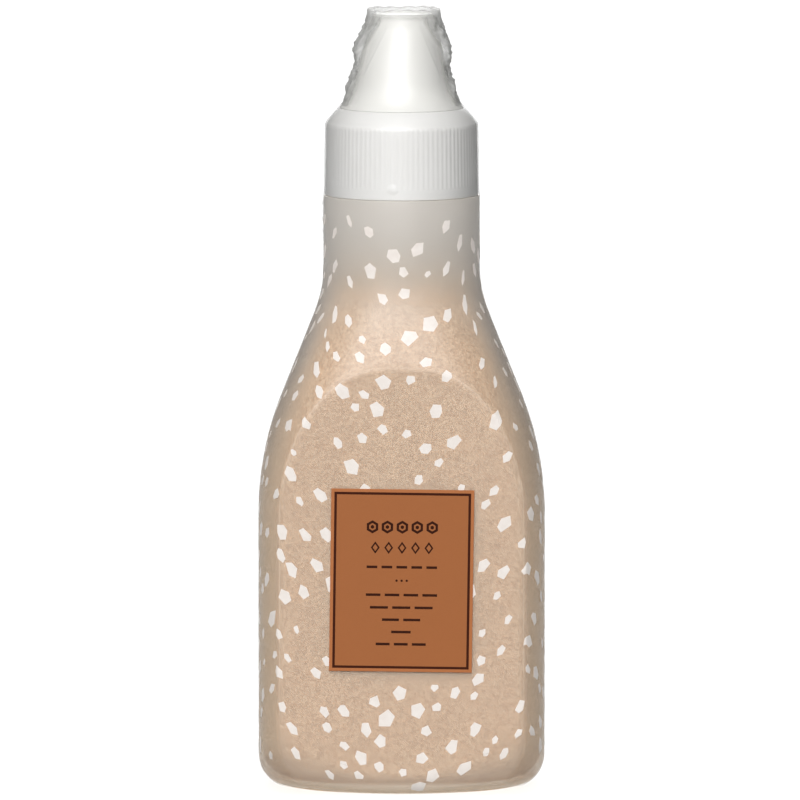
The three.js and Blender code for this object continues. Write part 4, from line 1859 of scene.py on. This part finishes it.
@dataclass
class FrontLabel(SubAssembly):
    """The rectangular label: a bright rim, a dark border line, a brown field and rows of plain marks."""

    width: float = 33.7
    height: float = 43.3
    back: float = 23.07
    thickness: float = 0.28
    centre: float = 51.5
    tilt: float = 0.8
    margin: float = 0.74
    line: float = 0.6
    ink_proud: float = 0.015
    ink_sunk: float = 0.01
    edge: float = 0.05
    dash_gap: float = 1.0
    mark_gap: float = 0.6
    open_share: float = 0.58
    heart_share: float = 0.3
    lozenge_narrow: float = 0.72
    rows: tuple[MarkRow, ...] = (
        MarkRow(Mark.CRYSTAL, 12.7, 17.6, 3.1, 5),
        MarkRow(Mark.LOZENGE, 7.8, 15.8, 2.9, 5),
        MarkRow(Mark.DASH, 3.2, 17.6, 0.6, 5),
        MarkRow(Mark.DOT, 0.0, 3.6, 0.55, 3),
        MarkRow(Mark.DASH, -3.4, 17.8, 0.6, 4),
        MarkRow(Mark.DASH, -6.4, 15.8, 0.6, 3),
        MarkRow(Mark.DASH, -9.3, 10.0, 0.6, 2),
        MarkRow(Mark.DASH, -12.2, 5.6, 0.6, 1),
        MarkRow(Mark.DASH, -15.1, 12.8, 0.6, 3),
    )

    def on_panel(self, across: Array, up: Array, out: Array) -> Array:
        """Gives points on the label.

        Args:
            across: Millimetres to the right of its middle.
            up: Millimetres above its middle.
            out: Millimetres in front of the bottle's axis.

        Returns:
            The points, in three columns, turned by the label's tilt.
        """
        turn = math.radians(-self.tilt)
        x = across * math.cos(turn) - up * math.sin(turn)
        z = across * math.sin(turn) + up * math.cos(turn)
        return np.column_stack([x, -out, z + self.centre])

    def plate(self) -> Shape:
        """Makes the label's plate, whose bands are 0 on its rim and sides, 1 on the line and 2 inside.

        Returns:
            The closed shape.
        """
        front = self.back + self.thickness
        inset = [self.edge, self.margin, self.margin + self.line]
        lines_x = [-self.width / 2 + i for i in inset] + [self.width / 2 - i for i in reversed(inset)]
        lines_z = [-self.height / 2 + i for i in inset] + [self.height / 2 - i for i in reversed(inset)]
        across, up = (axis.ravel() for axis in np.meshgrid(lines_x, lines_z))
        face_points = self.on_panel(across, up, np.full_like(across, front))
        corners = np.array([(-1, -1), (1, -1), (1, 1), (-1, 1)]) * [self.width / 2, self.height / 2]
        fronts = self.on_panel(corners[:, 0], corners[:, 1], np.full(4, front - self.edge))
        backs = self.on_panel(corners[:, 0], corners[:, 1], np.full(4, self.back))
        faces: list[Face] = []
        bands: list[int] = []
        lines = len(lines_x)
        grid = np.arange(lines**2).reshape(lines, lines)
        for column in range(lines - 1):
            for row in range(lines - 1):
                (at, right), (above, far) = grid[row : row + 2, column : column + 2].tolist()
                faces.append((at, right, far, above))
                bands.append(min(column, row, lines - 2 - column, lines - 2 - row))
        for side, run in enumerate([grid[0], grid[:, -1], grid[-1, ::-1], grid[::-1, 0]]):
            start, end = grid.size + side, grid.size + (side + 1) % 4
            faces.append((start, end, *run[::-1].tolist()))
            faces.append((start + 4, end + 4, end, start))
            bands += [0, 0]
        faces.append(tuple(range(grid.size + 7, grid.size + 3, -1)))
        bands.append(0)
        return Shape(np.vstack([face_points, fronts, backs]), faces, bands)

    def mark(self, kind: Mark, wide: float, tall: float) -> Array:
        """Gives the outline of a mark.

        Args:
            kind: Which mark it is.
            wide: How wide it may be.
            tall: How tall it is.

        Returns:
            Its corners, in two columns, counterclockwise.
        """
        if kind is Mark.DASH:
            half = [wide / 2, tall / 2]
            return np.array([(-1, -1), (1, -1), (1, 1), (-1, 1)]) * half
        sides = {Mark.CRYSTAL: 6, Mark.LOZENGE: 4, Mark.DOT: 16}[kind]
        turns = np.arange(sides) * (2 * math.pi / sides) + math.pi / 2
        narrow = self.lozenge_narrow if kind is Mark.LOZENGE else 1.0
        return np.column_stack([np.cos(turns) * narrow, np.sin(turns)]) * (tall / 2)

    def prism(self, outline: Array, across: float, up: float, hollow: float = 0.0) -> Shape:
        """Makes a mark as a thin plate on the label, or as a frame where it is hollow.

        Args:
            outline: Its corners, in two columns.
            across: Where its middle is, to the right.
            up: Where its middle is, above the label's middle.
            hollow: The share of it that is open in the middle.

        Returns:
            The closed shape.
        """
        front = self.back + self.thickness
        levels = (front + self.ink_proud, front - self.ink_sunk)
        count = len(outline)
        loops = [outline, outline * hollow] if hollow else [outline]
        points = [
            self.on_panel(loop[:, 0] + across, loop[:, 1] + up, np.full(count, out))
            for out in levels
            for loop in loops
        ]
        faces: list[Face] = []
        for side in range(count):
            after = (side + 1) % count
            if hollow:
                faces.append((side, after, count + after, count + side))
                faces.append((2 * count + after, 2 * count + side, 3 * count + side, 3 * count + after))
                faces.append((after, side, 2 * count + side, 2 * count + after))
                faces.append((count + side, count + after, 3 * count + after, 3 * count + side))
            else:
                faces.append((after, side, count + side, count + after))
        if not hollow:
            faces += [tuple(range(count)), tuple(reversed(range(count, 2 * count)))]
        return Shape(np.vstack(points), faces)

    def print_rows(self) -> Shape:
        """Makes all the rows of marks as one shape.

        Returns:
            The shape.
        """
        shapes: list[Shape] = []
        for row in self.rows:
            pitch = row.width / row.count
            gap = self.dash_gap if row.kind is Mark.DASH else self.mark_gap
            for index in range(row.count):
                across = (index - (row.count - 1) / 2) * pitch
                outline = self.mark(row.kind, pitch - gap, row.tall)
                hollow = self.open_share if row.kind in (Mark.CRYSTAL, Mark.LOZENGE) else 0.0
                shapes.append(self.prism(outline, across, row.above, hollow))
                if row.kind is Mark.CRYSTAL:
                    shapes.append(self.prism(outline * self.heart_share, across, row.above))
        return join(shapes)

    def build(self) -> list[Piece]:
        """Builds the label and its print.

        Returns:
            The plate and its marks.
        """
        finishes = [
            PrintedPaper("#a86433", "#a05e2d").build("paper_rim_printed"),
            PrintedPaper("#3d190b", "#351509", gloss=0.08).build("paper_line_printed"),
            PrintedPaper("#985724", "#905220").build("paper_field_printed"),
        ]
        plate = place("front_label", self.plate(), finishes, ["label"], smooth=False)
        ink = PrintedInk("#35160a", "#2d1208", roughness=0.6, gloss=0.08).build("dark_ink_printed")
        marks = place("label_print", self.print_rows(), [ink], smooth=False)
        return [plate, marks]


# ---- Studio ----


@dataclass(frozen=True)
class SoftBox:
    """A soft round light. Its place is given as seen from the bottle."""

    name: str
    azimuth: float
    elevation: float
    distance: float
    size: float
    power: float


@dataclass
class Studio:
    """A pale floor, soft lights and a long lens at the height of a tabletop view."""

    distance: float = 2.7
    elevation: float = 6.0
    frame_width: float = 0.190
    sensor: float = 36.0
    aim: tuple[float, float, float] = (-0.00038, 0.0, 0.0919)
    lit_middle: tuple[float, float, float] = (0.0, 0.0, 0.09)
    ambient: float = 0.05
    clear_layers: int = 24
    clip: tuple[float, float] = (0.05, 20.0)
    floor_reach: float = 4.0
    wash_strength: float = 4.0
    wash_shadowed: float = 0.15
    wash_spread: float = 80.0
    boxes: tuple[SoftBox, ...] = (
        SoftBox("key", -8.5, 36.0, 1.7, 1.4, 37.3),
        SoftBox("back", 178.0, 22.0, 1.8, 1.2, 22.0),
        SoftBox("table_glow", -4.0, -72.0, 0.24, 0.26, 0.135),
    )
    flanks: tuple[SoftBox, ...] = (
        SoftBox("flank_left", -72.0, -4.0, 1.2, 0.9, 2.6),
        SoftBox("flank_right", 72.0, -4.0, 1.2, 0.9, 3.4),
    )

    def point_at(
        self, made: Piece, aim: Sequence[float], azimuth: float, elevation: float, distance: float
    ) -> None:
        """Puts a light or camera at a distance from a point, and turns it towards that point.

        Args:
            made: The light or camera.
            aim: The point, in metres.
            azimuth: Degrees round from the front.
            elevation: Degrees up.
            distance: The distance, in metres.
        """
        turn, rise = math.radians(azimuth), math.radians(elevation)
        flat = math.cos(rise)
        towards = Vector((math.sin(turn) * flat, -math.cos(turn) * flat, math.sin(rise)))
        made.location = Vector(aim) + towards * distance
        made.rotation_euler = towards.to_track_quat("Z", "Y").to_euler()

    def build_floor(self) -> Piece:
        """Builds the floor, which sends no light back on the bottle's sides.

        Returns:
            The floor.
        """
        mesh = bpy.data.meshes.new("floor")
        reach = self.floor_reach
        corners = [(-reach, -reach, 0), (reach, -reach, 0), (reach, reach, 0), (-reach, reach, 0)]
        mesh.from_pydata(corners, [], [(0, 1, 2, 3)])
        mesh.materials.append(FloorPaint().build("floor_paint"))
        floor = add_object("floor", mesh)
        floor.visible_diffuse = False
        floor.visible_shadow = False
        return floor

    def build_box(self, box: SoftBox, receivers: bpy.types.Collection) -> None:
        """Builds a soft box.

        Args:
            box: Its place, size and power.
            receivers: The pieces that it lights, or leaves out where the collection says so.
        """
        lamp = bpy.data.lights.new(box.name, "AREA")
        lamp.shape = "DISK"
        lamp.size = box.size
        lamp.energy = box.power
        light = add_object(box.name, lamp)
        self.point_at(light, self.lit_middle, box.azimuth, box.elevation, box.distance)
        light.light_linking.receiver_collection = receivers

    def light_flanks(self, pieces: Sequence[Piece]) -> None:
        """Lights the flanks of the body, whose sugar and milky wall pass light on to their sides.

        Args:
            pieces: The pieces of the body, which these lights reach.
        """
        body = bpy.data.collections.new("body_lit")
        for piece in pieces:
            body.objects.link(piece)
        for box in self.flanks:
            self.build_box(box, body)

    def build_lights(self, floor: Piece) -> None:
        """Builds the soft boxes, which light the bottle, and an even wash that lights the floor.

        One of them shines from below, as through the top of a lit table.

        Args:
            floor: The floor.
        """
        lit = bpy.data.collections.new("floor_lit")
        lit.objects.link(floor)
        unlit = bpy.data.collections.new("floor_unlit")
        unlit.objects.link(floor)
        unlit.collection_objects[0].light_linking.link_state = "EXCLUDE"
        for box in self.boxes:
            self.build_box(box, unlit)
        for name, share in (("wash", 1 - self.wash_shadowed), ("shadowed_wash", self.wash_shadowed)):
            wash = bpy.data.lights.new(name, "SUN")
            wash.energy = self.wash_strength * share
            wash.angle = math.radians(self.wash_spread)
            overhead = add_object(name, wash)
            overhead.light_linking.receiver_collection = lit
            if name == "wash":
                overhead.light_linking.blocker_collection = lit

    def build_world(self) -> None:
        """Builds the dim, even light of the room."""
        world = bpy.data.worlds.new("studio")
        world.use_nodes = True
        room = world.node_tree.nodes["Background"]
        room.inputs["Color"].default_value = (1.0, 1.0, 1.0, 1.0)
        room.inputs["Strength"].default_value = self.ambient
        bpy.context.scene.world = world

    def build_camera(self) -> None:
        """Builds the camera at the photograph's angle."""
        camera = bpy.data.cameras.new("camera")
        camera.sensor_width = self.sensor
        camera.lens = self.sensor * self.distance / self.frame_width
        camera.clip_start, camera.clip_end = self.clip
        eye = add_object("camera", camera)
        self.point_at(eye, self.aim, 0.0, self.elevation, self.distance)
        bpy.context.scene.camera = eye

    def build(self) -> None:
        """Builds the whole studio."""
        floor = self.build_floor()
        self.build_lights(floor)
        self.build_world()
        self.build_camera()
        bpy.context.scene.view_settings.view_transform = "Standard"
        bpy.context.scene.cycles.transparent_max_bounces = self.clear_layers


def main() -> None:
    """Builds the studio and the bottle, and reports each piece."""
    logging.basicConfig(level=logging.INFO, format="%(name)s: %(message)s")
    studio = Studio()
    studio.build()
    form, cover_form = BottleForm(), CoverForm()
    bottle = FrostedBottle(form)
    filling = SugarFilling(form, bottle)
    sleeve = ShrinkSleeve(form, cover_form)
    label = FrontLabel()
    parts: list[SubAssembly] = [bottle, filling, LooseSugar(filling), ScrewClosure()]
    parts += [SpoutCover(cover_form), sleeve, PrintedPolygons(sleeve, label), label]
    body: list[Piece] = []
    for part in parts:
        for piece in part.build():
            faces = sum(len(polygon.vertices) - 2 for polygon in piece.data.polygons)
            LOG.info("%s: %d triangles", piece.name, faces)
            if not isinstance(part, (ScrewClosure, SpoutCover, ShrinkSleeve)):
                body.append(piece)
    studio.light_flanks(body)


if __name__ == "__main__":
    main()
